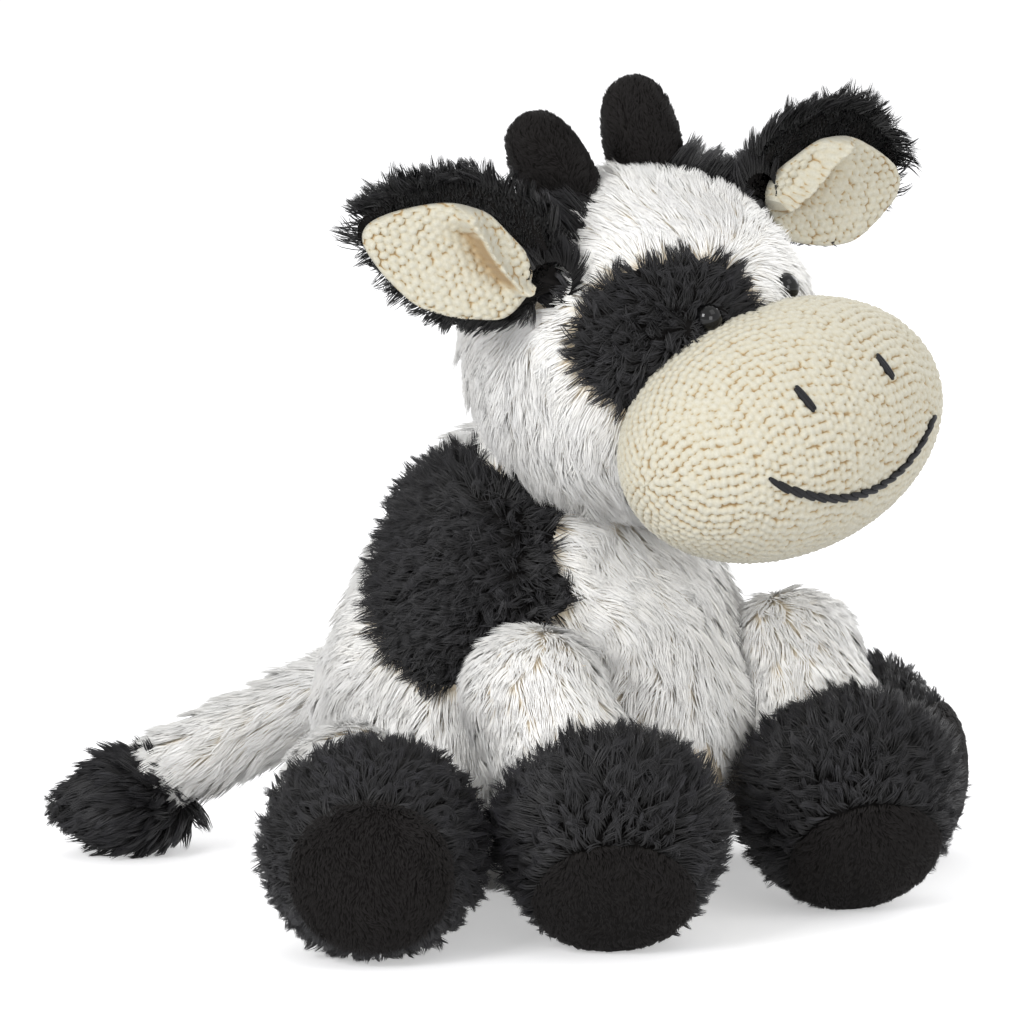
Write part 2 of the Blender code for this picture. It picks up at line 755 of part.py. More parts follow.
def make_muzzle():
    sizes = (MUZZLE_HALF_WIDTH, MUZZLE_HALF_LENGTH, MUZZLE_HALF_HEIGHT)
    form = ellipsoid(*sizes, HEAD_SEGMENTS, HEAD_RINGS)
    muzzle = put(add_object("muzzle", form, CREAM_KNIT), muzzle_matrix())
    reach = socket_radius(HEAD_RADIUS, HEAD_SEGMENTS, HEAD_RINGS)
    cut(muzzle, head_ball("muzzle_seat", reach))
    return muzzle


def thread(name, points, radius):
    """A stitched line: a round thread through the points."""
    curve = bpy.data.curves.new(name, "CURVE")
    curve.dimensions = "3D"
    curve.bevel_depth = radius
    curve.bevel_resolution = 1
    curve.use_fill_caps = True
    spline = curve.splines.new("POLY")
    spline.points.add(len(points) - 1)
    for target, point in zip(spline.points, points):
        target.co = (*point, 1.0)
    obj = bpy.data.objects.new(name, curve)
    PARTS.objects.link(obj)
    curve.materials.append(plush(name + "_" + BLACK_THREAD[0], *BLACK_THREAD[1:]))
    return put(obj, muzzle_matrix())


def make_mouth():
    points = []
    for step in range(MOUTH_POINTS):
        across = 2 * step / (MOUTH_POINTS - 1) - 1
        x = across * MOUTH_HALF_WIDTH
        z = -MOUTH_DROP + MOUTH_LIFT * across**2
        points.append(muzzle_point(x, z, MOUTH_THREAD_RADIUS + CLEARANCE))
    return thread("mouth_stitch", points, MOUTH_THREAD_RADIUS)


def make_nostril(side):
    points = []
    for along in (-1, 0, 1):
        x = side * (NOSTRIL_SPACING / 2 + along * NOSTRIL_LENGTH / 2 * math.sin(NOSTRIL_LEAN))
        z = NOSTRIL_RAISE + along * NOSTRIL_LENGTH / 2 * math.cos(NOSTRIL_LEAN)
        points.append(muzzle_point(x, z, NOSTRIL_RADIUS + CLEARANCE))
    return thread("nostril_stitch_" + side_name(side), points, NOSTRIL_RADIUS)


def ear_angles(side):
    if side == RIGHT:
        return RIGHT_EAR_BACK, RIGHT_EAR_UP
    return LEFT_EAR_BACK, LEFT_EAR_UP


def ear_matrix(side):
    """+X runs from the root to the tip and +Z is the side that shows the lining."""
    back, up = ear_angles(side)
    along = Vector(
        (side * math.cos(up) * math.cos(back), math.cos(up) * math.sin(back), math.sin(up))
    )
    along = head_matrix().to_3x3() @ along
    front = head_matrix().to_3x3() @ Vector((side * math.sin(back), -math.cos(back), 0))
    front = (front - along * front.dot(along)).normalized()
    across = front.cross(along)
    axes = Matrix((along, across, front)).transposed().to_4x4()
    return Matrix.Translation(ear_pivot(side)) @ axes


def flap_axis(side):
    """The line, front to back through the ear's root, that a positive turn lifts it about."""
    return head_matrix().to_3x3() @ Vector((0, -side, 0))


def ear_leaf(start, length, half_width, thickness, front):
    """One layer of the ear: flat where the two layers meet, domed on the other side."""
    bm = unit_ball(SMALL_SEGMENTS, SMALL_RINGS)
    for vert in bm.verts:
        vert.co = Vector((vert.co.z, vert.co.y, -vert.co.x))
        share = (vert.co.x + 1) / 2
        x = start + share * length
        y = vert.co.y * half_width * profile_at(EAR_WIDTH_SHARES, share)
        z = max(vert.co.z * front, 0.0) * thickness
        bend = EAR_CUP * (y / EAR_HALF_WIDTH) ** 2
        vert.co = Vector((x, y, front * (z + CLEARANCE / 2) + bend))
    bmesh.ops.recalc_face_normals(bm, faces=bm.faces)
    return bm


def make_ear(side):
    name = side_name(side)
    outer = ear_leaf(0.0, EAR_LENGTH, EAR_HALF_WIDTH, EAR_THICKNESS, -1)
    outer = put(add_object("ear_" + name, outer, BLACK_PLUSH), ear_matrix(side))
    root = ellipsoid(*(root_ball_radius(EAR_ROOT_RADIUS),) * 3, LIMB_SEGMENTS, LIMB_RINGS)
    root = put(add_object("ear_root_" + name, root, None), ear_matrix(side))
    boolean(outer, root, "UNION")
    lining = ear_leaf(LINING_START, LINING_LENGTH, LINING_HALF_WIDTH, LINING_THICKNESS, 1)
    lining = put(add_object("ear_lining_" + name, lining, CREAM_KNIT), ear_matrix(side))
    seat = (ear_pivot(side), EAR_ROOT_RADIUS, flap_axis(side), -EAR_FLAP, EAR_FLAP)
    make_room(outer, head_keepout, *seat)
    make_room(lining, head_keepout, *seat)
    carry(pivot_empty("ear_pivot_" + name, ear_pivot(side)), outer, lining)
    return outer, lining


def make_horn(side):
    out = Vector(
        (side * math.sin(HORN_OUT), math.sin(HORN_LEAN_BACK), math.cos(HORN_OUT))
    ).normalized()
    height = math.sqrt(HEAD_RADIUS**2 - (HORN_SPACING / 2) ** 2 - HORN_BACK**2)
    foot = Vector((side * HORN_SPACING / 2, HORN_BACK, height)) - out * HORN_SUNK
    form = swelling_form(
        HORN_LENGTH,
        HORN_RADIUS,
        HORN_RADIUS,
        HORN_RADIUS_SHARES,
        HORN_RADIUS_SHARES,
        SMALL_SEGMENTS,
        SMALL_RINGS,
    )
    horn = add_object("horn_" + side_name(side), form, BLACK_VELVET)
    put(horn, head_matrix() @ Matrix.Translation(foot) @ facing(out, (0, -1, 0)))
    reach = socket_radius(HEAD_RADIUS, HEAD_SEGMENTS, HEAD_RINGS)
    cut(horn, head_ball("horn_seat_" + side_name(side), reach))
    return horn


def foot_shape(grown):
    """A boot along +Z, heel at 0 and sole at the far end, with its instep lifted to +Y."""
    bm = swelling_form(
        FOOT_LENGTH,
        FOOT_HALF_WIDTH,
        FOOT_HALF_HEIGHT,
        FOOT_WIDTH_SHARES,
        FOOT_WIDTH_SHARES,
        FOOT_SEGMENTS,
        FOOT_RINGS,
    )
    for vert in bm.verts:
        vert.co.y += FOOT_INSTEP_LIFT * profile_at(FOOT_LIFT_SHARES, vert.co.z / FOOT_LENGTH)
        vert.co.z -= FOOT_LENGTH / 2
    return grow(bm, grown) if grown else bm


def make_foot(name, middle, toe_turn, toe_down, side, floor):
    """The boot and its sole, set on the floor and pointing along the toe angles."""
    toe = Vector(
        (
            side * math.sin(toe_turn) * math.cos(toe_down),
            -math.cos(toe_turn) * math.cos(toe_down),
            -math.sin(toe_down),
        )
    )
    place = Matrix.Translation(middle) @ facing(toe, (0, 0, 1))
    foot = put(add_object(name + "_foot_" + side_name(side), foot_shape(0.0), BLACK_PLUSH), place)
    settle(foot)
    place = foot.matrix_world.copy()
    sole = foot_shape(0.0)
    sole = put(add_object(name + "_sole_" + side_name(side), sole, BLACK_VELVET), place)
    plane = FOOT_LENGTH / 2 - SOLE_THICKNESS
    cut(foot, floor, block_above(foot.name + "_end", place, plane - CLEARANCE))
    keep_inside(sole, block_above(sole.name + "_start", place, plane))
    cut(sole, floor)
    grown = add_object(foot.name + "_grown", foot_shape(CLEARANCE), None)
    return foot, sole, put(grown, place)


def sleeve_shape(root_radius, end_radius, length):
    """A ball at the origin that draws in at its seam and runs on along +Z as a sleeve."""
    bm = unit_ball(LIMB_SEGMENTS, LIMB_RINGS)
    for vert in bm.verts:
        if vert.co.z <= 0:
            vert.co *= root_ball_radius(root_radius)
            continue
        angle = math.asin(min(vert.co.z, 1.0))
        share = angle / (math.pi / 2)
        level = max(math.cos(angle), CLEARANCE)
        seam_radius = SEAM_SHARE * root_radius
        radius = seam_radius + (end_radius - seam_radius) * share
        vert.co.x *= radius / level
        vert.co.y *= radius / level
        vert.co.z = share * length
    return bm


def raise_axis(reach):
    """The level line, square to a leg, about which a positive turn lifts its foot."""
    return reach.cross(Vector((0, 0, 1))).normalized()


def make_leg(name, side, root, root_radius, ankle_radius, leg_raise, foot_parts, floor):
    foot, sole, grown_foot = foot_parts
    reach = foot.matrix_world.translation - root
    sleeve = sleeve_shape(root_radius, ankle_radius, reach.length)
    leg = add_object(name + "_leg_" + side_name(side), sleeve, WHITE_PLUSH)
    put(leg, Matrix.Translation(root) @ facing(reach, (0, 0, 1)))
    make_room(leg, torso_keepout, root, root_radius, raise_axis(reach), 0, leg_raise)
    cut(leg, grown_foot, floor)
    carry(pivot_empty(name + "_pivot_" + side_name(side), root), leg, foot, sole)
    return leg


def make_front_leg(side, floor):
    if side == RIGHT:
        inward, turn = RIGHT_FRONT_FOOT_IN, RIGHT_FRONT_TOE_TURN
    else:
        inward, turn = LEFT_FRONT_FOOT_IN, LEFT_FRONT_TOE_TURN
    across = side * (TORSO_HALF_WIDTH - inward)
    back = TORSO_BACK - TORSO_HALF_DEPTH - FRONT_FOOT_AHEAD
    middle = world(across, back, FOOT_HALF_HEIGHT)
    foot_parts = make_foot("front", middle, turn, FRONT_TOE_DOWN, side, floor)
    sizes = (FRONT_ROOT_RADIUS, FRONT_ANKLE_RADIUS, FRONT_LEG_RAISE)
    make_leg("front", side, shoulder(side), *sizes, foot_parts, floor)


def make_hind_leg(side, floor):
    if side == RIGHT:
        outward, forward, turn = RIGHT_HIND_FOOT_OUT, RIGHT_HIND_FOOT_FORWARD, RIGHT_HIND_TOE_TURN
    else:
        outward, forward, turn = LEFT_HIND_FOOT_OUT, LEFT_HIND_FOOT_FORWARD, LEFT_HIND_TOE_TURN
    across = side * (TORSO_HALF_WIDTH + outward)
    middle = world(across, TORSO_BACK - forward, FOOT_HALF_HEIGHT)
    foot_parts = make_foot("hind", middle, turn, HIND_TOE_DOWN, side, floor)
    sizes = (HIND_ROOT_RADIUS, HIND_ANKLE_RADIUS, HIND_LEG_RAISE)
    make_leg("hind", side, hip(side), *sizes, foot_parts, floor)


def make_tail(floor):
    turn = Vector((-math.sin(TUFT_TURN), math.cos(TUFT_TURN), 0))
    back = TORSO_BACK + TORSO_HALF_DEPTH + TUFT_BEHIND
    start = world(-TUFT_SIDE, back, TUFT_HALF_HEIGHT) - turn * TUFT_LENGTH / 2

    def tuft_shape():
        return swelling_form(
            TUFT_LENGTH,
            TUFT_HALF_WIDTH,
            TUFT_HALF_HEIGHT,
            TUFT_WIDTH_SHARES,
            TUFT_WIDTH_SHARES,
            LIMB_SEGMENTS,
            LIMB_RINGS,
        )

    tuft = add_object("tail_tuft", tuft_shape(), BLACK_PLUSH)
    put(tuft, Matrix.Translation(start) @ facing(turn, (0, 0, 1)))
    settle(tuft)
    grown = put(
        add_object("tail_tuft_grown", grow(tuft_shape(), CLEARANCE), None),
        tuft.matrix_world.copy(),
    )
    cut(tuft, floor)
    root = tail_root()
    joint = tuft.matrix_world @ Vector((0, 0, TUFT_LENGTH / 4))
    reach = joint - root
    sleeve = sleeve_shape(TAIL_ROOT_RADIUS, TAIL_END_RADIUS, reach.length)
    tail = add_object("tail", sleeve, WHITE_PLUSH)
    put(tail, Matrix.Translation(root) @ facing(reach, (0, 0, 1)))
    up = Vector((0, 0, 1))
    make_room(tail, torso_keepout, root, TAIL_ROOT_RADIUS, up, -TAIL_WAG, TAIL_WAG)
    cut(tail, grown, floor)
    carry(pivot_empty("tail_pivot", root), tail, tuft)


def main():
    floor = make_floor()
    make_torso(floor)
    make_filling()
    make_neck()
    head_pieces = list(make_head())
    head_pieces.append(make_muzzle())
    head_pieces.append(make_mouth())
    for side in (RIGHT, LEFT):
        head_pieces.append(make_eye(side))
        head_pieces.append(make_washer(side))
        head_pieces.append(make_nostril(side))
        head_pieces.append(make_horn(side))
        make_ear(side)
        make_front_leg(side, floor)
        make_hind_leg(side, floor)
    carry(pivot_empty("head_pivot", head_centre()), *head_pieces)
    make_tail(floor)


main()
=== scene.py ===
"""Looks of the seated plush cow: skins, pile made of real strands, knitted relief and stitches.

Metres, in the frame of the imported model: +Z up, the cow faces -Y and its left is +X.
"""

import math

import bpy
import numpy as np
from mathutils import Matrix, Vector
from mathutils.kdtree import KDTree

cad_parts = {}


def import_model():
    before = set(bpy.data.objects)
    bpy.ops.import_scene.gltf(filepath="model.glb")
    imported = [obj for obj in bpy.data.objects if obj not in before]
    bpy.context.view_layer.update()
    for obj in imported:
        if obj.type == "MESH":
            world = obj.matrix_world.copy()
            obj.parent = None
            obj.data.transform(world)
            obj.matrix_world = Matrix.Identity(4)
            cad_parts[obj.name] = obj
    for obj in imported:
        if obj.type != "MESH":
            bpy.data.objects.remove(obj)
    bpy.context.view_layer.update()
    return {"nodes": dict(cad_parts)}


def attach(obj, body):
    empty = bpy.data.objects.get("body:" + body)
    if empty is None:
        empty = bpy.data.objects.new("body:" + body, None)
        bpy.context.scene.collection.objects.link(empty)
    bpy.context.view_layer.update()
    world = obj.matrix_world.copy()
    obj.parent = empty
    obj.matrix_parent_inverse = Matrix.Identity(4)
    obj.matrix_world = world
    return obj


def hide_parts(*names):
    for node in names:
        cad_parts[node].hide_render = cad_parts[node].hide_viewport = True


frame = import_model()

RIGHT, LEFT = -1, 1
UPWARD = (0, 0, 1)
MM = 0.001
PILE_SHARE = 1.0

# Places and forms, as the solids have them
SHIFT_X, SHIFT_Y = 0.0038, -0.0105
TORSO_HEIGHT, TORSO_HALF_WIDTH, TORSO_HALF_DEPTH, TORSO_BACK = 0.158, 0.074, 0.078, 0.012
TORSO_WIDTH_SHARES = (1.22, 1.14, 1.02, 0.89, 0.82, 0.84)
TORSO_DEPTH_SHARES = (1.20, 1.13, 1.00, 0.86, 0.78, 0.80)
HEAD_RADIUS, HEAD_FORWARD, HEAD_SUNK = 0.058, 0.038, 0.0285
HEAD_TURN, HEAD_TILT = math.radians(5), math.radians(10.5)
MUZZLE_HALF = np.array((1.103, 0.681, 0.698)) * HEAD_RADIUS
MUZZLE_FORWARD, MUZZLE_DROP = HEAD_RADIUS + 0.001, 0.405 * HEAD_RADIUS
MOUTH_HALF_WIDTH, MOUTH_DROP, MOUTH_LIFT = 0.039, 0.018, 0.0145
NOSTRIL_SPACING, NOSTRIL_RAISE, NOSTRIL_LENGTH = 0.039, 0.0215, 0.0085
EYE_RADIUS, EYE_DOME = 0.0045, 0.0038
EYE_SIDE_ANGLE, EYE_RAISE_ANGLE = math.radians(20), math.radians(18.8)
EYE_PATCH_SIZE = (0.060, 0.050)
EYE_PATCH_ANGLES = (math.radians(-34), math.radians(14))
EYE_PATCH_OUTLINE = (
    (0.50, 0.05), (0.42, 0.38), (0.12, 0.50), (-0.28, 0.44), (-0.50, 0.12), (-0.46, -0.18),
    (-0.20, -0.46), (0.10, -0.50), (0.40, -0.36),
)
SIDE_PATCH_SIZE = (0.078, 0.070)
SIDE_PATCH_TURN, SIDE_PATCH_RISE = math.radians(16), 0.696 * TORSO_HEIGHT
SIDE_PATCH_OUTLINE = (
    (0.52, -0.06), (0.41, -0.19), (0.26, -0.28), (0.11, -0.47), (-0.08, -0.41), (-0.27, -0.30),
    (-0.44, -0.10), (-0.47, 0.12), (-0.43, 0.34), (-0.22, 0.46), (0.00, 0.48), (0.20, 0.42),
    (0.35, 0.30), (0.40, 0.12),
)
EAR_LENGTH, EAR_HALF_WIDTH, EAR_THICKNESS, EAR_CUP = 0.070, 0.024, 0.0085, 0.006
EAR_WIDTH_SHARES = (1.50, 1.14, 1.06, 1.02, 0.86, 0.70)
EAR_SIDE_ANGLE, EAR_STAND_OFF = math.radians(77), 0.0045
EAR_RAISE_ANGLES = {RIGHT: math.radians(35), LEFT: math.radians(38)}
EAR_BACK_UP = {
    RIGHT: (math.radians(30), math.radians(27)),
    LEFT: (math.radians(-6), math.radians(-8)),
}
LINING_THICKNESS = 0.0035
HORN_RADIUS, HORN_LENGTH, HORN_SPACING, HORN_BACK = 0.0125, 0.0415, 0.038, 0.006
HORN_OUT, HORN_LEAN_BACK, HORN_SUNK = math.radians(12), math.radians(19), 0.012
HORN_SHARES = (1.10, 1.05, 1.00, 0.98, 1.02, 1.15)
FRONT_ROOT, FRONT_ANKLE, HIND_ROOT, HIND_ANKLE = 0.0245, 0.024, 0.0285, 0.027
SEAM_SHARE, BALL_SHARE = 0.93, 0.965
BALL_PART = 0.3
SHOULDER_SHARES = (0.757, 0.795, 0.494)
HIP_SHARES = (1.054, 0.228)
FRONT_FOOT_AHEAD, FRONT_FOOT_IN = 0.017, {RIGHT: 0.022, LEFT: 0.024}
HIND_FOOT_FORWARD, HIND_FOOT_OUT = {RIGHT: 0.055, LEFT: 0.042}, {RIGHT: 0.043, LEFT: 0.036}
TOE_TURNS = {
    "front": {RIGHT: math.radians(36), LEFT: math.radians(-22)},
    "hind": {RIGHT: math.radians(41), LEFT: math.radians(26)},
}
TOE_DOWN = {"front": math.radians(36), "hind": math.radians(-1)}
FOOT_HALF_WIDTH, FOOT_HALF_HEIGHT, FOOT_LENGTH = 0.0354, 0.0334, 0.062
FOOT_INSTEP_LIFT, SOLE_THICKNESS = 0.007, 0.0072
FOOT_SHARES = (0.86, 0.98, 1.03, 1.02, 1.04, 1.34)
FOOT_LIFT_SHARES = (0.90, 1.00, 0.90, 0.60, 0.25, 0.0)
TAIL_ROOT, TAIL_END, TAIL_SHARES = 0.0145, 0.013, (1.103, 0.380)
TAIL_IN_TUFT_SHARE = 0.45
TAIL_ROOT_COMB = (0, 1.8, 0)
TUFT_SIDE, TUFT_BEHIND, TUFT_LENGTH, TUFT_HALF_WIDTH = 0.077, 0.048, 0.050, 0.018
TUFT_HALF_HEIGHT, TUFT_TURN = 0.0165, math.radians(64)
TUFT_SHARES = (0.80, 0.95, 1.05, 1.05, 0.95, 0.80)


# Vectors and forms


def unit(vectors):
    vectors = np.asarray(vectors, float)
    size = np.linalg.norm(vectors, axis=-1, keepdims=True)
    return vectors / np.maximum(size, 1e-12)


def rotation(angle, axis):
    return np.array(Matrix.Rotation(angle, 3, axis))


def smooth_step(low, high, value):
    t = np.clip((value - low) / (high - low), 0.0, 1.0)
    return t * t * (3 - 2 * t)


def profile_at(values, share):
    """A smooth curve through values that are spaced evenly from share 0 to share 1."""
    values = np.asarray(values, float)
    place = np.clip(share, 0.0, 1.0) * (len(values) - 1)
    index = np.minimum(place.astype(int), len(values) - 2)
    t = place - index
    before = values[np.maximum(index - 1, 0)]
    here = values[index]
    there = values[index + 1]
    after = values[np.minimum(index + 2, len(values) - 1)]
    slope_here = (there - before) / 2
    slope_there = (after - here) / 2
    return (here * (2 * t**3 - 3 * t**2 + 1) + slope_here * (t**3 - 2 * t**2 + t)
            + there * (3 * t**2 - 2 * t**3) + slope_there * (t**3 - t**2))


def facing(direction, hint):
    """A rotation whose +Z is the direction and whose +Y leans to the hint."""
    z_axis = unit(direction)
    x_axis = unit(np.cross(hint, z_axis))
    return np.column_stack((x_axis, np.cross(z_axis, x_axis), z_axis))


class Form:
    """A closed rounded surface: shape(u, v) gives its points with u round it and v along it."""

    def __init__(self, shape, turn, place, inside=None):
        self.shape = shape
        self.turn = np.asarray(turn, float)
        self.place = np.asarray(place, float)
        self.inside_local = inside

    def points(self, u, v):
        return self.shape(u, v) @ self.turn.T + self.place

    def local(self, points):
        return (points - self.place) @ self.turn

    def inside(self, points):
        return self.inside_local(self.local(points))

    def surface(self, u, v):
        """Points, outward normals and the direction along the form, for many places at once."""
        step = 1e-4
        here = self.points(u, v)
        round_it = self.points(u + step, v) - self.points(u - step, v)
        along = self.points(u, np.clip(v + step, 0, 1)) - self.points(u, np.clip(v - step, 0, 1))
        normal = unit(np.cross(round_it, along))
        flip = np.sign(np.sum(normal * (here - self.middle()), axis=1))
        return here, normal * np.where(flip == 0, 1, flip)[:, None], unit(along)

    def middle(self):
        u = np.linspace(0, 1, 24, endpoint=False)
        return np.mean([self.points(u, np.full(24, v)).mean(0) for v in (0.3, 0.5, 0.7)], axis=0)


def ball_form(radius, turn, place):
    def shape(u, v):
        polar, around = np.pi * v, 2 * np.pi * u
        ring = np.sin(polar)
        return radius * np.column_stack((ring * np.cos(around), ring * np.sin(around), -np.cos(polar)))

    return Form(shape, turn, place, lambda p: np.linalg.norm(p, axis=1) < radius)


def swelling(length, half_width, half_depth, width_shares, depth_shares, turn, place, lift=None):
    """A rounded form along its own +Z from 0 to length, as the solids' swelling forms are."""

    def shape(u, v):
        polar, around = np.pi * v, 2 * np.pi * u
        share = (1 - np.cos(polar)) / 2
        ring = np.sin(polar)
        x = ring * np.cos(around) * half_width * profile_at(width_shares, share)
        y = ring * np.sin(around) * half_depth * profile_at(depth_shares, share)
        if lift is not None:
            y = y + lift(share)
        return np.column_stack((x, y, share * length))

    def inside(p):
        share = np.clip(p[:, 2] / length, 0, 1)
        y = p[:, 1] - (lift(share) if lift is not None else 0)
        x = p[:, 0] / (half_width * profile_at(width_shares, share))
        y = y / (half_depth * profile_at(depth_shares, share))
        level = 1 - (2 * p[:, 2] / length - 1) ** 2
        return x**2 + y**2 < level

    return Form(shape, turn, place, inside)


def sleeve_form(root_radius, end_radius, length, turn, place):
    """A ball that runs on along +Z as a tapering sleeve."""

    def radius_at(share):
        seam = SEAM_SHARE * root_radius
        return seam + (end_radius - seam) * share

    def shape(u, v):
        around = 2 * np.pi * u
        low = v < BALL_PART
        polar = np.pi / 2 * np.minimum(v / BALL_PART, 1)
        share = np.clip((v - BALL_PART) / (1 - BALL_PART), 0, 1)
        ring = np.where(low, root_radius * BALL_SHARE * np.sin(polar), radius_at(share))
        z = np.where(low, -root_radius * BALL_SHARE * np.cos(polar), share * length)
        return np.column_stack((ring * np.cos(around), ring * np.sin(around), z))

    def inside(p):
        share = np.clip(p[:, 2] / length, 0, 1)
        tube = (np.hypot(p[:, 0], p[:, 1]) < radius_at(share)) & (p[:, 2] > 0) & (p[:, 2] < length)
        return tube | (np.linalg.norm(p, axis=1) < root_radius)

    return Form(shape, turn, place, inside)


def world(x, y, z):
    return np.array((x + SHIFT_X, y + SHIFT_Y, z))


HEAD_TURNED = rotation(HEAD_TURN, "Z") @ rotation(-HEAD_TILT, "Y")
HEAD_CENTRE = world(0, -HEAD_FORWARD, TORSO_HEIGHT + HEAD_RADIUS - HEAD_SUNK)


def on_head(side_angle, raise_angle, radius):
    level = math.cos(raise_angle) * radius
    return np.array((math.sin(side_angle) * level, -math.cos(side_angle) * level,
                     math.sin(raise_angle) * radius))


def head_to_world(point):
    return HEAD_TURNED @ np.asarray(point, float) + HEAD_CENTRE


HEAD = ball_form(HEAD_RADIUS, HEAD_TURNED, HEAD_CENTRE)
TORSO = swelling(TORSO_HEIGHT, TORSO_HALF_WIDTH, TORSO_HALF_DEPTH, TORSO_WIDTH_SHARES,
                 TORSO_DEPTH_SHARES, np.eye(3), world(0, TORSO_BACK, 0))
MUZZLE_PLACE = head_to_world((0, -MUZZLE_FORWARD, -MUZZLE_DROP))
MUZZLE = Form(
    lambda u, v: ball_form(1.0, np.eye(3), (0, 0, 0)).shape(u, v) * MUZZLE_HALF,
    HEAD_TURNED,
    MUZZLE_PLACE,
    lambda p: np.sum((p / MUZZLE_HALF) ** 2, axis=1) < 1,
)


def side_name(side):
    return "right" if side == RIGHT else "left"


def shoulder(side):
    side_share, forward_share, height_share = SHOULDER_SHARES
    return world(side * side_share * TORSO_HALF_WIDTH,
                 TORSO_BACK - forward_share * TORSO_HALF_DEPTH, height_share * TORSO_HEIGHT)


def hip(side):
    return world(side * HIP_SHARES[0] * TORSO_HALF_WIDTH, TORSO_BACK, HIP_SHARES[1] * TORSO_HEIGHT)


def tail_root():
    return world(0, TORSO_BACK + TAIL_SHARES[0] * TORSO_HALF_DEPTH, TAIL_SHARES[1] * TORSO_HEIGHT)


def ear_pivot(side):
    reach = HEAD_RADIUS + EAR_STAND_OFF
    return head_to_world(on_head(side * EAR_SIDE_ANGLE, EAR_RAISE_ANGLES[side], reach))


def lowest(form):
    u, v = np.meshgrid(np.linspace(0, 1, 80), np.linspace(0, 1, 80))
    return form.points(u.ravel(), v.ravel())[:, 2].min()


def foot_form(kind, side):
    if kind == "front":
        across = side * (TORSO_HALF_WIDTH - FRONT_FOOT_IN[side])
        middle = world(across, TORSO_BACK - TORSO_HALF_DEPTH - FRONT_FOOT_AHEAD, FOOT_HALF_HEIGHT)
    else:
        across = side * (TORSO_HALF_WIDTH + HIND_FOOT_OUT[side])
        middle = world(across, TORSO_BACK - HIND_FOOT_FORWARD[side], FOOT_HALF_HEIGHT)
    turn, down = TOE_TURNS[kind][side], TOE_DOWN[kind]
    toe = np.array((side * math.sin(turn) * math.cos(down), -math.cos(turn) * math.cos(down),
                    -math.sin(down)))
    form = swelling(FOOT_LENGTH, FOOT_HALF_WIDTH, FOOT_HALF_HEIGHT, FOOT_SHARES, FOOT_SHARES,
                    facing(toe, UPWARD), middle - toe * FOOT_LENGTH / 2,
                    lambda share: FOOT_INSTEP_LIFT * profile_at(FOOT_LIFT_SHARES, share))
    form.place = form.place - np.array((0, 0, lowest(form)))
    form.toe = toe
    form.centre = form.place + toe * FOOT_LENGTH / 2
    return form


# How the pile of each side's legs is combed away from straight down the leg.
LEG_COMBS = {RIGHT: (-0.45, 0.35, -0.30), LEFT: (0.15, 0.25, -0.30)}


def leg_form(kind, side, foot):
    root = shoulder(side) if kind == "front" else hip(side)
    sizes = (FRONT_ROOT, FRONT_ANKLE) if kind == "front" else (HIND_ROOT, HIND_ANKLE)
    reach = foot.centre - root
    form = sleeve_form(*sizes, np.linalg.norm(reach), facing(reach, UPWARD), root)
    form.axis = unit(reach)
    form.root_radius = sizes[0]
    form.reach = np.linalg.norm(reach)
    form.combed = form.axis + np.array(LEG_COMBS[side])
    return form


FEET = {(kind, side): foot_form(kind, side) for kind in ("front", "hind") for side in (RIGHT, LEFT)}
LEGS = {key: leg_form(*key, foot) for key, foot in FEET.items()}

TUFT_AXIS = np.array((-math.sin(TUFT_TURN), math.cos(TUFT_TURN), 0))
TUFT_MIDDLE = world(-TUFT_SIDE, TORSO_BACK + TORSO_HALF_DEPTH + TUFT_BEHIND, TUFT_HALF_HEIGHT)
TUFT = swelling(TUFT_LENGTH, TUFT_HALF_WIDTH, TUFT_HALF_HEIGHT, TUFT_SHARES, TUFT_SHARES,
                facing(TUFT_AXIS, UPWARD), TUFT_MIDDLE - TUFT_AXIS * TUFT_LENGTH / 2)
TUFT.place = TUFT.place - np.array((0, 0, lowest(TUFT)))
TAIL_REACH = TUFT.place + TUFT_AXIS * TUFT_LENGTH * 3 / 4 - tail_root()
TAIL = sleeve_form(TAIL_ROOT, TAIL_END, np.linalg.norm(TAIL_REACH), facing(TAIL_REACH, UPWARD),
                   tail_root())


def horn_form(side):
    out = unit((side * math.sin(HORN_OUT), math.sin(HORN_LEAN_BACK), math.cos(HORN_OUT)))
    height = math.sqrt(HEAD_RADIUS**2 - (HORN_SPACING / 2) ** 2 - HORN_BACK**2)
    foot = np.array((side * HORN_SPACING / 2, HORN_BACK, height)) - out * HORN_SUNK
    sizes = (HORN_LENGTH, HORN_RADIUS, HORN_RADIUS, HORN_SHARES, HORN_SHARES)
    form = swelling(*sizes, HEAD_TURNED @ facing(out, (0, -1, 0)), head_to_world(foot))
    form.axis = HEAD_TURNED @ out
    return form


HORNS = {side: horn_form(side) for side in (RIGHT, LEFT)}


def ear_axes(side):
    """Columns: along the ear, across it, and out of the side that shows the lining."""
    back, up = EAR_BACK_UP[side]
    along = np.array((side * math.cos(up) * math.cos(back), math.cos(up) * math.sin(back), math.sin(up)))
    along = HEAD_TURNED @ along
    front = HEAD_TURNED @ np.array((side * math.sin(back), -math.cos(back), 0))
    front = unit(front - along * front.dot(along))
    return np.column_stack((along, np.cross(front, along), front))


# Materials


def new_material(name):
    material = bpy.data.materials.new(name)
    material.use_nodes = True
    nodes, links = material.node_tree.nodes, material.node_tree.links
    return material, nodes, links, nodes["Principled BSDF"]


def attribute(nodes, name):
    node = nodes.new("ShaderNodeAttribute")
    node.attribute_name = name
    return node.outputs["Fac"]


def noise(nodes, links, scale, detail=2.0):
    place = nodes.new("ShaderNodeTexCoord")
    node = nodes.new("ShaderNodeTexNoise")
    node.inputs["Scale"].default_value = scale
    node.inputs["Detail"].default_value = detail
    links.new(place.outputs["Object"], node.inputs["Vector"])
    return node.outputs["Fac"]


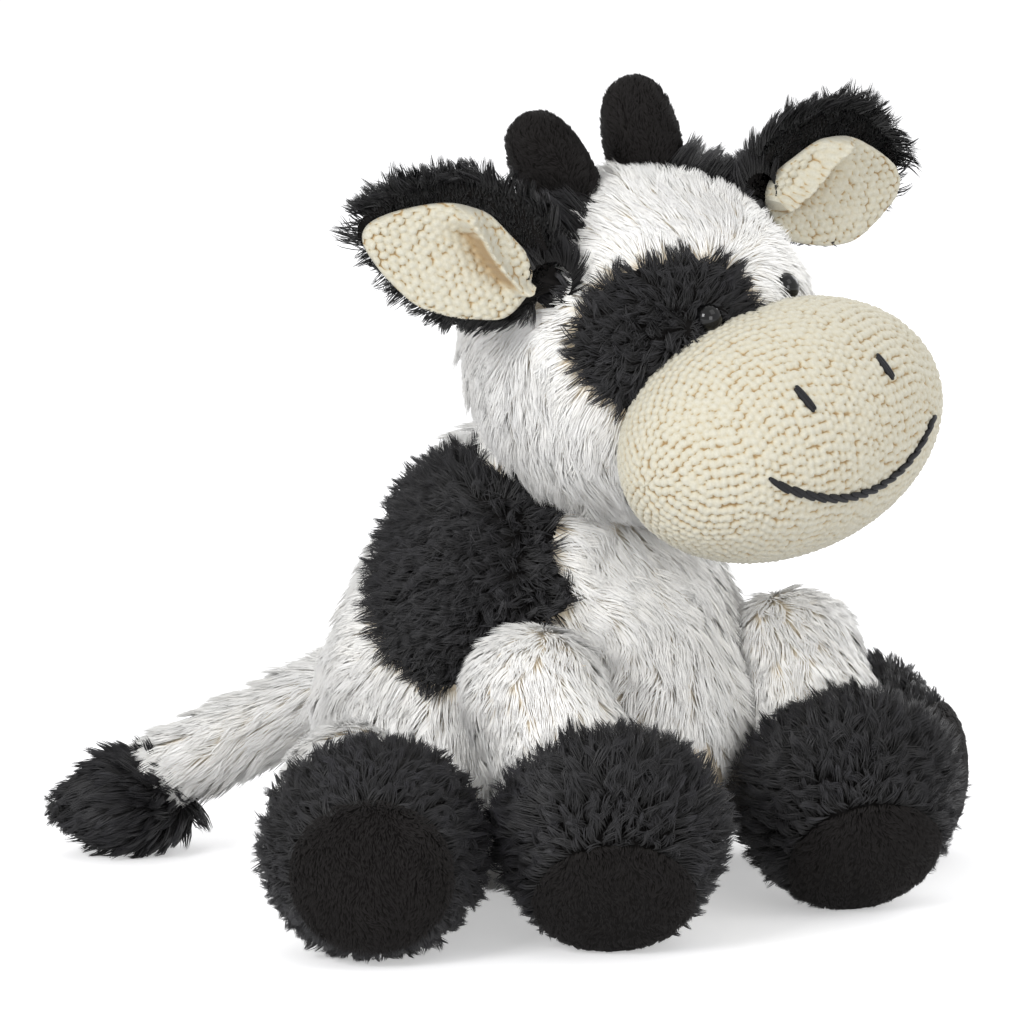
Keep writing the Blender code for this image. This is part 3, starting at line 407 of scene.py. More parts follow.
def ramp(nodes, links, value, stops):
    node = nodes.new("ShaderNodeValToRGB")
    elements = node.color_ramp.elements
    while len(elements) < len(stops):
        elements.new(0.5)
    for element, (place, colour) in zip(elements, stops):
        element.position = place
        element.color = (*colour, 1.0)
    links.new(value, node.inputs["Fac"])
    return node.outputs["Color"]


def multiply(nodes, links, first, second, share=1.0):
    node = nodes.new("ShaderNodeMix")
    node.data_type = "RGBA"
    node.blend_type = "MULTIPLY"
    node.inputs["Factor"].default_value = share
    links.new(first, node.inputs["A"])
    links.new(second, node.inputs["B"])
    return node.outputs["Result"]


def set_finish(shader, roughness, specular, sheen=0.0):
    shader.inputs["Roughness"].default_value = roughness
    shader.inputs["Specular IOR Level"].default_value = specular
    shader.inputs["Sheen Weight"].default_value = sheen


def add_bump(nodes, links, shader, scale, strength, distance):
    bump = nodes.new("ShaderNodeBump")
    bump.inputs["Strength"].default_value = strength
    bump.inputs["Distance"].default_value = distance
    links.new(noise(nodes, links, scale, 4.0), bump.inputs["Height"])
    links.new(bump.outputs["Normal"], shader.inputs["Normal"])


def pile_material(name, stops, tones, roughness, sheen, specular):
    """Strands whose colour runs from root to tip and differs a little from tuft to tuft."""
    material, nodes, links, shader = new_material(name)
    colour = ramp(nodes, links, attribute(nodes, "tip"), stops)
    tone = ramp(nodes, links, attribute(nodes, "tone"), tones)
    links.new(multiply(nodes, links, colour, tone), shader.inputs["Base Color"])
    set_finish(shader, roughness, specular, sheen)
    return material


def backing_material(name, dark, light, scale):
    material, nodes, links, shader = new_material(name)
    colour = ramp(nodes, links, noise(nodes, links, scale, 4.0), ((0.3, dark), (0.7, light)))
    links.new(colour, shader.inputs["Base Color"])
    set_finish(shader, roughness=0.95, specular=0.1)
    add_bump(nodes, links, shader, scale * 2, strength=0.4, distance=0.3 * MM)
    return material


def knit_material():
    material, nodes, links, shader = new_material("cream_knit_wool")
    # The dark brown at low relief is painted shade in the holes between the beads; the bead tops carry the
    # yarn's cream.
    stops = (
        (0.0, (0.36, 0.245, 0.12)),
        (0.22, (0.49, 0.39, 0.245)),
        (0.42, (0.55, 0.505, 0.385)),
        (1.0, (0.575, 0.557, 0.470)),
    )
    colour = ramp(nodes, links, attribute(nodes, "relief"), stops)
    fibres = ramp(nodes, links, noise(nodes, links, 1400.0, 3.0), ((0.3, (0.90,) * 3), (0.7, (1.0,) * 3)))
    colour = multiply(nodes, links, colour, fibres)
    links.new(colour, shader.inputs["Base Color"])
    set_finish(shader, roughness=0.9, specular=0.15, sheen=0.15)
    add_bump(nodes, links, shader, 1800.0, strength=0.5, distance=0.25 * MM)
    return material


def thread_material():
    material, nodes, links, shader = new_material("black_embroidery_thread")
    place = nodes.new("ShaderNodeTexCoord")
    wave = nodes.new("ShaderNodeTexWave")
    wave.inputs["Scale"].default_value = 900.0
    wave.inputs["Distortion"].default_value = 1.5
    links.new(place.outputs["Object"], wave.inputs["Vector"])
    stops = ((0.2, (0.003, 0.003, 0.0035)), (0.8, (0.014, 0.014, 0.017)))
    colour = ramp(nodes, links, wave.outputs["Fac"], stops)
    links.new(colour, shader.inputs["Base Color"])
    set_finish(shader, roughness=0.55, specular=0.25)
    return material


def plastic_material(name, dark, light, roughness):
    material, nodes, links, shader = new_material(name)
    colour = ramp(nodes, links, noise(nodes, links, 300.0), ((0.4, dark), (0.6, light)))
    links.new(colour, shader.inputs["Base Color"])
    set_finish(shader, roughness, specular=0.35)
    return material


# The tan at the roots, fading to white towards the tips, is painted shade deep in the white coat.
WHITE_PILE = pile_material(
    "white_plush_pile",
    (
        (0.0, (0.82, 0.72, 0.57)),
        (0.18, (0.91, 0.87, 0.79)),
        (0.36, (0.945, 0.94, 0.92)),
        (1.0, (0.955, 0.955, 0.945)),
    ),
    ((0.0, (0.93, 0.915, 0.885)), (0.5, (0.99, 0.985, 0.975)), (1.0, (1.0, 1.0, 1.0))),
    0.6,
    0.1,
    0.3,
)
# The near-black roots are painted shade between the clumps. The bright bluish end of the tones paints
# highlights onto some clumps, as if they were lit.
BLACK_PILE = pile_material(
    "black_plush_pile",
    ((0.0, (0.0025, 0.002, 0.002)), (0.4, (0.006, 0.0055, 0.006)), (1.0, (0.019, 0.0185, 0.0215))),
    ((0.0, (0.42, 0.41, 0.40)), (0.75, (0.95, 0.95, 0.98)), (1.0, (1.7, 1.7, 1.85))),
    0.48,
    0.05,
    0.35,
)
VELVET_PILE = pile_material(
    "black_velvet_pile",
    ((0.0, (0.006, 0.005, 0.004)), (1.0, (0.018, 0.0165, 0.017))),
    ((0.0, (0.7, 0.66, 0.62)), (1.0, (1.1, 1.08, 1.08))),
    0.7,
    0.05,
    0.15,
)
# Its tan, showing between the white strands, is painted warm shade deep in the coat.
WHITE_BACKING = backing_material("white_backing_cloth", (0.66, 0.53, 0.36), (0.82, 0.74, 0.60), 400.0)
BLACK_BACKING = backing_material("black_backing_cloth", (0.005, 0.0045, 0.004), (0.011, 0.010, 0.010),
                                 400.0)
KNIT = knit_material()
THREAD = thread_material()
EYE_PLASTIC = plastic_material("black_eye_plastic", (0.0015, 0.0015, 0.0015), (0.003, 0.003, 0.0035), 0.05)
WASHER_PLASTIC = plastic_material("white_washer_plastic", (0.74, 0.74, 0.72), (0.80, 0.80, 0.78), 0.4)
FIBRE = backing_material("fibre_fill_batting", (0.78, 0.78, 0.78), (0.90, 0.90, 0.90), 250.0)
PELLET_CLOTH = backing_material("pellet_bag_cloth", (0.62, 0.59, 0.52), (0.76, 0.73, 0.66), 900.0)


# Building pieces


PILE_DEPTH = 2.5 * MM
PATCH_PROUD = 0.7 * MM
BELLY_PARTING = np.array(((0.009, -0.074, 0.052), (0.025, -0.067, 0.028)))
BELLY_GAP = 6.5 * MM
PATCH_OVERHANG = 5.0 * MM
ROOT_OVERLAP = 4.0 * MM
PATCH_COMB = (0.0, 0.25, 0.0)
DEEP_PILE = 4.0 * MM
SMALL_CELL, EAR_CELL = 0.9 * MM, 1.1 * MM
# Each kind of piece, and each smooth field, draws from its own seed, so that a change to one leaves
# the others alone.
SEEDS = {
    "head": 11, "torso": 21, ("ear", RIGHT): 31, ("ear", LEFT): 32, ("horn", RIGHT): 41,
    ("horn", LEFT): 42, ("front", RIGHT): 65, ("front", LEFT): 71, ("hind", RIGHT): 64,
    ("hind", LEFT): 70, "tail": 61, "muzzle_knit": 5, "lining_knit": 6, "swirl": 7, "tone": 9,
}
FLOOR_GAP = 0.3 * MM
STITCH_PITCH, STITCH_ROW, STITCH_RELIEF = 3.3 * MM, 2.5 * MM, 1.35 * MM
PLY_WIDTH = 1.3 * MM
NOSTRIL_SLANT = math.radians(16)
EAR_ROOT_BALL = 9.0 * MM
EAR_LOWER_SHARE = 0.78
EAR_ROOT_SLIMMING = 0.8
EAR_SHOWN_SHARE = 0.95
LINING_SHOWN_START, LINING_SHOWN_LENGTH, LINING_SHOWN_WIDTH = 0.0055, 0.0585, 0.0172
LINING_SHIFT = {RIGHT: -1.5 * MM, LEFT: -2.6 * MM}


def mesh_object(name, vertices, faces, material, floats=()):
    """faces is a list of equal-sided index arrays; floats are (name, value of each vertex)."""
    mesh = bpy.data.meshes.new(name)
    vertices = np.asarray(vertices, np.float32)
    sides = [np.full(len(block), block.shape[1]) for block in faces]
    counts = np.concatenate(sides)
    corners = np.concatenate([block.ravel() for block in faces])
    mesh.vertices.add(len(vertices))
    mesh.vertices.foreach_set("co", vertices.ravel())
    mesh.loops.add(len(corners))
    mesh.loops.foreach_set("vertex_index", corners.astype(np.int32))
    mesh.polygons.add(len(counts))
    starts = np.concatenate(([0], np.cumsum(counts)[:-1]))
    mesh.polygons.foreach_set("loop_start", starts.astype(np.int32))
    mesh.polygons.foreach_set("loop_total", counts.astype(np.int32))
    mesh.polygons.foreach_set("use_smooth", np.ones(len(counts), bool))
    mesh.update(calc_edges=True)
    mesh.validate()
    for title, values in floats:
        layer = mesh.attributes.new(title, "FLOAT", "POINT")
        layer.data.foreach_set("value", np.asarray(values, np.float32))
    mesh.materials.append(material)
    return link_mesh(mesh, name)


def settle_piece(obj, body, slot, *nodes, fill=None):
    """Rides on a body and stands for CAD nodes; slot is not used, and fill is not used."""
    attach(obj, body)
    if nodes:
        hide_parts(*nodes)
    return obj


def link_mesh(mesh, name):
    obj = bpy.data.objects.new(name, mesh)
    bpy.context.scene.collection.objects.link(obj)
    return obj


def node_skin(node, name, material, voxel, move=None):
    """The cloth of a small piece: the node's own form, rounded, and moved where move says."""
    mesh = frame["nodes"][node].data.copy()
    mesh.name = name
    obj = link_mesh(mesh, name)
    remesh = obj.modifiers.new("round", "REMESH")
    remesh.mode = "VOXEL"
    remesh.voxel_size = voxel
    remesh.use_smooth_shade = True
    relax = obj.modifiers.new("relax", "SMOOTH")
    relax.factor = 0.5
    relax.iterations = 4
    bpy.context.view_layer.update()
    done = bpy.data.meshes.new_from_object(obj.evaluated_get(bpy.context.evaluated_depsgraph_get()))
    obj.modifiers.clear()
    obj.data = done
    done.materials.clear()
    done.materials.append(material)
    if move is not None:
        places = np.empty(len(done.vertices) * 3, np.float32)
        done.vertices.foreach_get("co", places)
        done.vertices.foreach_set("co", move(places.reshape(-1, 3)).astype(np.float32).ravel())
        done.update()
    return obj


def closed_grid(rows, columns):
    """Faces of a grid that closes round itself and has a point at each end, as the last two."""
    index = np.arange(rows * columns).reshape(rows, columns)
    right_of = np.roll(index, -1, axis=1)
    quads = np.stack((index[:-1], right_of[:-1], right_of[1:], index[1:]), axis=-1).reshape(-1, 4)
    first, last = rows * columns, rows * columns + 1
    low = np.column_stack((right_of[0], index[0], np.full(columns, first)))
    high = np.column_stack((index[-1], right_of[-1], np.full(columns, last)))
    return [quads, np.vstack((low, high))]


def grid_shares(rows, columns):
    """Shares round and along for each point of a closed grid, row by row."""
    v, u = np.meshgrid(
        np.linspace(0, 1, rows + 2)[1:-1], np.linspace(0, 1, columns, endpoint=False), indexing="ij"
    )
    return u.ravel(), v.ravel()


def form_skin(form, name, material, rows=60, columns=80, depth=None):
    """The backing cloth of a stuffed form, as far under its surface as its pile is deep."""
    u, v = grid_shares(rows, columns)
    points, normals, _ = form.surface(u, v)
    ends = form.points(np.zeros(2), np.array((0.0, 1.0)))
    vertices = np.vstack((points - normals * (depth or PILE_DEPTH), ends))
    vertices[-2] = vertices[:columns].mean(axis=0)
    vertices[-1] = vertices[-2 - columns : -2].mean(axis=0)
    vertices[:, 2] = np.maximum(vertices[:, 2], FLOOR_GAP)
    faces = closed_grid(rows, columns)
    a, b, c = (vertices[faces[0][:, corner]] for corner in range(3))
    outward = np.sum(np.cross(b - a, c - a) * (a - form.middle()), axis=1)
    if np.median(outward) < 0:
        faces = [block[:, ::-1] for block in faces]
    return mesh_object(name, vertices, faces, material)


def cell_areas(form, u, v, half_u, half_v):
    """The areas of small cells of a form's surface round the given places."""
    across = form.points(u + half_u, v) - form.points(u - half_u, v)
    along = form.points(u, np.minimum(v + half_v, 1)) - form.points(u, np.maximum(v - half_v, 0))
    return np.linalg.norm(np.cross(across, along), axis=1)


def scatter(form, count, random, keep=None):
    """Places spread evenly over a form's area: points and outward normals."""
    rows, columns = 120, 160
    v_edges = np.linspace(0.001, 0.999, rows + 1)
    u_edges = np.linspace(0, 1, columns + 1)
    u, v = np.meshgrid((u_edges[:-1] + u_edges[1:]) / 2, (v_edges[:-1] + v_edges[1:]) / 2)
    u, v = u.ravel(), v.ravel()
    du, dv = 0.5 / columns, 0.5 / rows
    area = cell_areas(form, u, v, du, dv)
    picks = random.choice(len(area), count, p=area / area.sum())
    u_at = u[picks] + random.uniform(-du, du, len(picks))
    v_at = v[picks] + random.uniform(-dv, dv, len(picks))
    points, normals, _ = form.surface(u_at, v_at)
    if keep is not None:
        kept = keep(points)
        points, normals = points[kept], normals[kept]
    return points, normals


def form_area(form):
    """The area of a form's surface, which sets how many strands it carries."""
    cells = 79
    edges = np.linspace(0.001, 0.999, cells + 1)
    u, v = np.meshgrid((edges[:-1] + edges[1:]) / 2, (edges[:-1] + edges[1:]) / 2)
    return cell_areas(form, u.ravel(), v.ravel(), 0.5 / cells, 0.5 / cells).sum()


WAVE_COUNT, WAVE_SPREAD = 6, 2.4


def waves(points, size, seed):
    """A smooth value from about -1 to 1 that changes over roughly the given size."""
    random = np.random.default_rng(seed)
    total = np.zeros(len(points))
    for _ in range(WAVE_COUNT):
        direction = unit(random.normal(0, 1, 3))
        length = size * random.uniform(0.7, 1.8)
        total += np.sin(points @ direction * 2 * np.pi / length + random.uniform(0, 2 * np.pi))
    return total / WAVE_SPREAD


class Pile:
    """What a pile looks like: its strands' length, width, lean, clumps and fineness."""

    def __init__(self, material, slot, per_mm2, length, width, lift, tip_lift, **more):
        self.material, self.slot, self.per_mm2 = material, slot, per_mm2
        self.length, self.width, self.lift, self.tip_lift = length, width, lift, tip_lift
        self.clump = more.get("clump", 0.5)
        self.per_clump = more.get("per_clump", 14)
        self.sway = more.get("sway", 0.25)
        self.swirl = more.get("swirl", 0.4)
        self.swirl_size = more.get("swirl_size", 30 * MM)
        self.segments = more.get("segments", 3)
        self.sink = more.get("sink", PILE_DEPTH)
        self.coat_share = 5.0 if slot == "white_plush" else 1.0
        self.unruly = more.get("unruly", 0.10)

    def count(self, form):
        return int(form_area(form) / MM**2 * self.per_mm2 * PILE_SHARE)


# How many strands one piece holds at most, by the segments that each strand has.
MOST_STRANDS = {2: 19000, 3: 12000}
STRAND_SIDES = 3
# How far a strand sways and rises by itself, against what it shares with its clump.
OWN_SWAY, SHARED_SWAY, OWN_RISE, SHARED_TIP_RISE = 0.5, 0.9, 0.6, 0.7
LIFT_LIMITS, SMALLEST_CLUMP = (0.05, 1.2), 2.0
LENGTH_SPREAD, WIDTH_SPREAD, PULL_SPREAD = (0.8, 1.15), (0.75, 1.25), (0.6, 1.05)
PULL_POWER, TIP_THINNING, TONE_SIZE = 1.4, 0.75, 35 * MM
UV_MARGIN, UV_ROOM, UV_TONE_ROOM, UV_HALF_WIDTH = 0.02, 0.96, 0.97, 0.012


def grow(name, body, pile, points, normals, flow, random, length_shares=None, lifts=None, coat=None):
    """Strands at all the points, in as many pieces as keep each one small enough."""
    parts = max(1, math.ceil(len(points) / MOST_STRANDS[pile.segments]))
    middle = points.mean(axis=0)
    order = np.argsort(np.arctan2(points[:, 1] - middle[1], points[:, 0] - middle[0]))
    if length_shares is None:
        length_shares = np.ones(len(points))
    if lifts is None:
        lifts = np.zeros(len(points))
    for part, picks in enumerate(np.array_split(order, parts)):
        title = name if parts == 1 else name + "_" + str(part + 1)
        piece = strands(title, pile, points[picks], normals[picks], flow[picks], random,
                        length_shares[picks], lifts[picks], coat)
        settle_piece(piece, body, pile.slot)


def nearest_centres(points, count, random):
    """Draws so many points as centres of clumps, and gives each point the centre nearest to it."""
    centres = random.choice(len(points), count, replace=False)
    tree = KDTree(len(centres))
    for index, centre in enumerate(centres):
        tree.insert(points[centre], index)
    tree.balance()
    return np.array([centres[tree.find(p)[1]] for p in points])


def middle_lines(pile, points, normals, flow, random, length_shares, lifts, nearest):
    """The strands' middle lines, ring by ring: out of the cloth, into the flow and to the clump."""
    count, segments = len(points), pile.segments
    flow = unit(flow - normals * np.sum(flow * normals, axis=1, keepdims=True))
    side = np.cross(normals, flow)
    own = random.normal(0, pile.sway, (count, 1))
    angle = own * OWN_SWAY + own[nearest] * SHARED_SWAY
    angle = angle + pile.swirl * waves(points, pile.swirl_size, SEEDS["swirl"])[:, None]
    flow = flow * np.cos(angle) + side * np.sin(angle)
    raised = random.normal(0, pile.unruly, (count, 1))
    lift = np.clip(pile.lift + lifts[:, None] + raised * OWN_RISE + raised[nearest], *LIFT_LIMITS)
    tip_lift = pile.tip_lift + raised * OWN_RISE + raised[nearest] * SHARED_TIP_RISE
    first = unit(normals * lift + flow * (1.05 - np.minimum(lift, 1)))
    last = unit(normals * tip_lift + flow * (1 - np.abs(tip_lift)))
    spread = random.uniform(*LENGTH_SPREAD, (count, 1))
    lengths = pile.length * length_shares[:, None] * (spread + spread[nearest]) / 2
    rings = [points - normals * pile.sink]
    for step in range(segments):
        t = (step + 0.5) / segments
        rings.append(rings[-1] + unit(first * (1 - t) + last * t) * lengths / segments)
    for step in range(1, segments + 1):
        t = step / segments
        pull = pile.clump * t**PULL_POWER * random.uniform(*PULL_SPREAD, (count, 1))
        rings[step] = rings[step] + (rings[step][nearest] - rings[step]) * pull
    return rings


def strand_faces(count, segments):
    """Faces of many strands, each with three sides, a closed foot and a point at the tip."""
    per_strand = STRAND_SIDES * segments + 1
    base = np.arange(count)[:, None] * per_strand
    quads, triangles = [], []
    for corner in range(STRAND_SIDES):
        after = (corner + 1) % STRAND_SIDES
        for step in range(segments - 1):
            low, high = step * STRAND_SIDES, (step + 1) * STRAND_SIDES
            quads.append(base + np.array((low + corner, low + after, high + after, high + corner)))
        top = (segments - 1) * STRAND_SIDES
        triangles.append(base + np.array((top + corner, top + after, per_strand - 1)))
    triangles.append(base + np.array((2, 1, 0)))
    return [np.concatenate(quads), np.concatenate(triangles)]


def strands(name, pile, points, normals, flow, random, length_shares, lifts, coat):
    """One closed tapering strand of pile at each point, leaning from the normal into the flow."""
    count, segments = len(points), pile.segments
    per_clump = max(SMALLEST_CLUMP, pile.per_clump * PILE_SHARE)
    nearest = nearest_centres(points, max(1, int(count / per_clump)), random)
    rings = middle_lines(pile, points, normals, flow, random, length_shares, lifts, nearest)
    widths = pile.width * PILE_SHARE**-0.5 * random.uniform(*WIDTH_SPREAD, (count, 1))
    shade = random.uniform(0, 1, count)
    broad = 0.5 + 0.5 * waves(points, TONE_SIZE, SEEDS["tone"])
    tone = 0.4 * shade + 0.4 * shade[nearest] + 0.2 * broad
    blocks, tips, shading = [], [], []
    for step in range(segments):
        heading = unit(rings[step + 1] - rings[max(step - 1, 0)])
        across = unit(np.cross(heading, normals + 1e-3))
        other = np.cross(heading, across)
        t = step / segments
        size = widths / 2 * (1 - TIP_THINNING * t**2)
        level = coat(rings[step], normals) if coat else normals
        for corner in range(STRAND_SIDES):
            turn = 2 * math.pi * corner / STRAND_SIDES
            outward = across * math.cos(turn) + other * math.sin(turn)
            blocks.append(rings[step] + outward * size)
            shading.append(unit(level * pile.coat_share + outward))
            tips.append(t)
    blocks.append(rings[-1])
    shading.append(coat(rings[-1], normals) if coat else normals)
    tips.append(1.0)
    vertices = np.stack(blocks, axis=1).reshape(-1, 3)
    vertices[:, 2] = np.maximum(vertices[:, 2], FLOOR_GAP)
    tip_values = np.tile(tips, count)
    tone_values = np.repeat(np.clip(tone, 0, 1), len(tips))
    obj = mesh_object(name, vertices, strand_faces(count, segments), pile.material,
                      (("tip", tip_values), ("tone", tone_values)))
    offsets = np.append(np.tile((-UV_HALF_WIDTH, 0.0, UV_HALF_WIDTH), segments), 0.0)
    u = tone_values * UV_TONE_ROOM + np.tile(offsets, count) + UV_HALF_WIDTH
    lay_out(obj, UV_MARGIN + UV_ROOM * u, UV_MARGIN + UV_ROOM * tip_values)
    obj.data.normals_split_custom_set_from_vertices(np.stack(shading, axis=1).reshape(-1, 3))
    return obj


def lay_out(obj, u, v):
    """A UV map from each point's place: strands of one tone share it, as they share a colour."""
    mesh = obj.data
    layer = mesh.uv_layers.new(name="OFBake")
    corners = np.empty(len(mesh.loops), np.int32)
    starts = np.empty(len(mesh.polygons), np.int32)
    totals = np.empty(len(mesh.polygons), np.int32)
    mesh.loops.foreach_get("vertex_index", corners)
    mesh.polygons.foreach_get("loop_start", starts)
    mesh.polygons.foreach_get("loop_total", totals)
    u_corner = np.asarray(u)[corners]
    widest = np.repeat(np.maximum.reduceat(u_corner, starts), totals)
    u_corner = np.where(u_corner < widest - 0.5, u_corner + 0.98, u_corner)
    places = np.column_stack((u_corner, np.asarray(v)[corners])).astype(np.float32)
    layer.data.foreach_set("uv", places.ravel())


def lay_out_grid(obj, u, v):
    """The UV map of a closed grid, whose two end points come last."""
    lay_out(obj, 0.01 + 0.98 * np.append(u, (0.5, 0.5)), 0.01 + 0.98 * np.append(v, (0.0, 1.0)))


# Which cloth grows where


def smooth_outline(outline, size):
    """The closed outline as many points on a plane, running smoothly through the given ones."""
    points = np.array(outline, float) * np.array(size)
    dense = []
    count = len(points)
    for index in range(count):
        p0, p1 = points[index - 1], points[index]
        p2, p3 = points[(index + 1) % count], points[(index + 2) % count]
        for t in np.linspace(0, 1, 6, endpoint=False):
            bend = (2 * p0 - 5 * p1 + 4 * p2 - p3) * t**2
            dense.append(0.5 * (2 * p1 + (p2 - p0) * t + bend + (3 * p1 - p0 - 3 * p2 + p3) * t**3))
    return np.array(dense)


def in_outline(flat, outline):
    """Which points of a plane are inside a closed outline."""
    inside = np.zeros(len(flat), bool)
    before = outline[-1]
    for here in outline:
        crosses = (here[1] > flat[:, 1]) != (before[1] > flat[:, 1])
        slope = (before[0] - here[0]) / (before[1] - here[1] + 1e-15)
        inside ^= crosses & (flat[:, 0] < here[0] + slope * (flat[:, 1] - here[1]))
        before = here
    return inside


EYE_PATCH_CENTRE = on_head(*EYE_PATCH_ANGLES, HEAD_RADIUS)
EYE_PATCH_AXES = HEAD_TURNED @ facing(EYE_PATCH_CENTRE, UPWARD)
EYE_PATCH_LINE = smooth_outline(EYE_PATCH_OUTLINE, EYE_PATCH_SIZE)
SIDE_PATCH_OUT = np.array((-math.cos(SIDE_PATCH_TURN), -math.sin(SIDE_PATCH_TURN), 0))
SIDE_PATCH_AXES = facing(SIDE_PATCH_OUT, UPWARD)
SIDE_PATCH_PLACE = world(0, TORSO_BACK, SIDE_PATCH_RISE)
SIDE_PATCH_LINE = smooth_outline(SIDE_PATCH_OUTLINE, SIDE_PATCH_SIZE)


def in_eye_patch(points):
    """Which points of the head lie within the eye patch's outline."""
    flat = (points - HEAD_CENTRE) @ EYE_PATCH_AXES
    return in_outline(flat[:, :2], EYE_PATCH_LINE) & (flat[:, 2] > 0)


def clear_of_eye_patch(points):
    gap, _ = patch_gap(points, EYE_PATCH_AXES, HEAD_CENTRE, EYE_PATCH_LINE)
    return ~in_eye_patch(points) & (gap > 1.2 * MM)


def in_side_patch(points):
    flat = (points - SIDE_PATCH_PLACE) @ SIDE_PATCH_AXES
    return in_outline(flat[:, :2], SIDE_PATCH_LINE) & (flat[:, 2] > 0)


def under_side_patch(points):
    """The patch, and the strip above and behind its seam where its pile hangs over."""
    gap, out = patch_gap(points, SIDE_PATCH_AXES, SIDE_PATCH_PLACE, SIDE_PATCH_LINE)
    overhang = PATCH_OVERHANG * smooth_step(0.1, 0.6, out[:, 2]) * (out[:, 1] > 0.1)
    return in_side_patch(points) | (gap < overhang)


def outside(points, *forms):
    kept = np.ones(len(points), bool)
    for form in forms:
        kept &= ~form.inside(points)
    return kept


def above_floor(points):
    return points[:, 2] > 1.0 * MM


def even_flow(direction, points):
    """The same direction for each of the points."""
    return np.tile(direction, (len(points), 1))


def down_flow(points):
    return even_flow((0.0, 0.0, -1.0), points)


def patch_gap(points, axes, place, outline):
    """How far outside a patch's outline each point lies, and the way out of the patch."""
    flat = (points - place) @ axes
    gaps = np.linalg.norm(flat[:, None, :2] - outline[None, :, :], axis=2).min(axis=1)
    return np.where(flat[:, 2] > 0, gaps, 1.0), unit(flat[:, :2]) @ axes[:, :2].T


# Head


EAR_ARC_STEPS, EAR_ARC_RISE, EAR_ARC_TURN = 10, math.radians(30), math.radians(8)
# How near to the line of an ear's root the white coat stops, and how far from it the black grows.
EAR_ARC_WHITE, EAR_ARC_BLACK = 7 * MM, 8 * MM
BROW_ANGLE, EAR_ROOT_RISE = math.radians(35), (0, 0, 0.5)
# A band is a pair of distances, or shares, between which one comb or length turns into another.
HEAD_TOP_BAND, EYE_PATCH_BAND, EAR_ROOT_BAND = (0.0, 30 * MM), (3 * MM, 12 * MM), (9 * MM, 20 * MM)
HEAD_SHORTER_BAND, HEAD_SHORTER = (0, 40 * MM), 0.28
EYE_CLEARANCE, EYE_PATCH_SHORTER_BAND = 4.2 * MM, (4 * MM, 14 * MM)
# How much of the coat's own comb is left right beside each black patch.
EYE_PATCH_COMB_LEFT, SIDE_PATCH_COMB_LEFT = 0.4, 0.3


def ear_arc(points, side, reach):
    """Which points of the head lie along the ear's root, which runs up to the horn."""
    local = unit((points - HEAD_CENTRE) @ HEAD_TURNED)
    near = np.zeros(len(points), bool)
    for share in np.linspace(0, 1, EAR_ARC_STEPS):
        raised = EAR_RAISE_ANGLES[side] + share * EAR_ARC_RISE
        target = on_head(side * (EAR_SIDE_ANGLE + share * EAR_ARC_TURN), raised, 1.0)
        near |= np.linalg.norm(local - target, axis=1) * HEAD_RADIUS < reach
    return near


LONG_WHITE = Pile(
    WHITE_PILE, "white_plush", per_mm2=1.5, length=13 * MM, width=0.43 * MM, lift=0.38, tip_lift=0.03,
    segments=2, clump=0.34, unruly=0.05, per_clump=18, sway=0.22, swirl=0.35,
)
LEG_WHITE = Pile(
    WHITE_PILE, "white_plush", per_mm2=1.6, length=12.5 * MM, width=0.43 * MM, lift=0.36, tip_lift=0.03,
    segments=2, clump=0.34, unruly=0.05, per_clump=18, sway=0.2, swirl=0.3,
)
TAIL_WHITE = Pile(
    WHITE_PILE, "white_plush", per_mm2=1.65, length=12.5 * MM, width=0.42 * MM, lift=0.38,
    tip_lift=0.04, segments=2, clump=0.38, unruly=0.06, per_clump=18, sway=0.15, swirl=0.1,
)
LONG_BLACK = Pile(
    BLACK_PILE, "black_plush", per_mm2=2.4, length=10 * MM, width=0.42 * MM, lift=0.62, tip_lift=0.32,
    clump=0.86, per_clump=9, sway=0.55, swirl=0.3, swirl_size=24 * MM, unruly=0.2,
)
FOOT_BLACK = Pile(
    BLACK_PILE, "black_plush", per_mm2=1.75, length=11 * MM, width=0.46 * MM, lift=0.62, tip_lift=0.26,
    clump=0.84, per_clump=11, sway=0.55, swirl=0.3, swirl_size=22 * MM, sink=DEEP_PILE, unruly=0.15,
)
EAR_BLACK = Pile(
    BLACK_PILE, "black_plush", per_mm2=2.1, length=10 * MM, width=0.42 * MM, lift=0.42, tip_lift=0.10,
    clump=0.8, per_clump=13, sway=0.2, swirl=0.1, sink=0.5 * MM,
)
EAR_ROOT_BLACK = Pile(
    BLACK_PILE, "black_plush", per_mm2=1.9, length=16 * MM, width=0.5 * MM, lift=0.75, tip_lift=0.45,
    clump=0.72, per_clump=10, swirl=0.15,
)
TUFT_BLACK = Pile(
    BLACK_PILE, "black_plush", per_mm2=2.2, length=14 * MM, width=0.55 * MM, lift=0.36, tip_lift=0.05,
    clump=0.82, per_clump=16, sway=0.16, swirl=0.12, sink=DEEP_PILE,
)
VELVET = Pile(
    VELVET_PILE, "black_velvet", per_mm2=4.0, length=2.0 * MM, width=0.36 * MM, lift=0.6, tip_lift=0.25,
    clump=0.3, per_clump=10, segments=2, sink=0.4 * MM, swirl=0.6, swirl_size=12 * MM,
)


def head_flow(points):
    """Away from the brow over the top of the head, and falling down the cheeks."""
    local = (points - HEAD_CENTRE) @ HEAD_TURNED
    brow = on_head(0, BROW_ANGLE, HEAD_RADIUS)
    away = local - brow
    fan = np.column_stack((np.sign(local[:, 0]) * 0.15, 0.45 * local[:, 1] / HEAD_RADIUS,
                           -np.ones(len(points))))
    top = smooth_step(*HEAD_TOP_BAND, local[:, 2])[:, None]
    flow = (unit(away) * top + unit(fan) * (1 - top)) @ HEAD_TURNED.T
    gap, out = patch_gap(points, EYE_PATCH_AXES, HEAD_CENTRE, EYE_PATCH_LINE)
    near = (1 - smooth_step(*EYE_PATCH_BAND, gap))[:, None]
    return flow * (1 - near) + (EYE_PATCH_COMB_LEFT * flow + out) * near


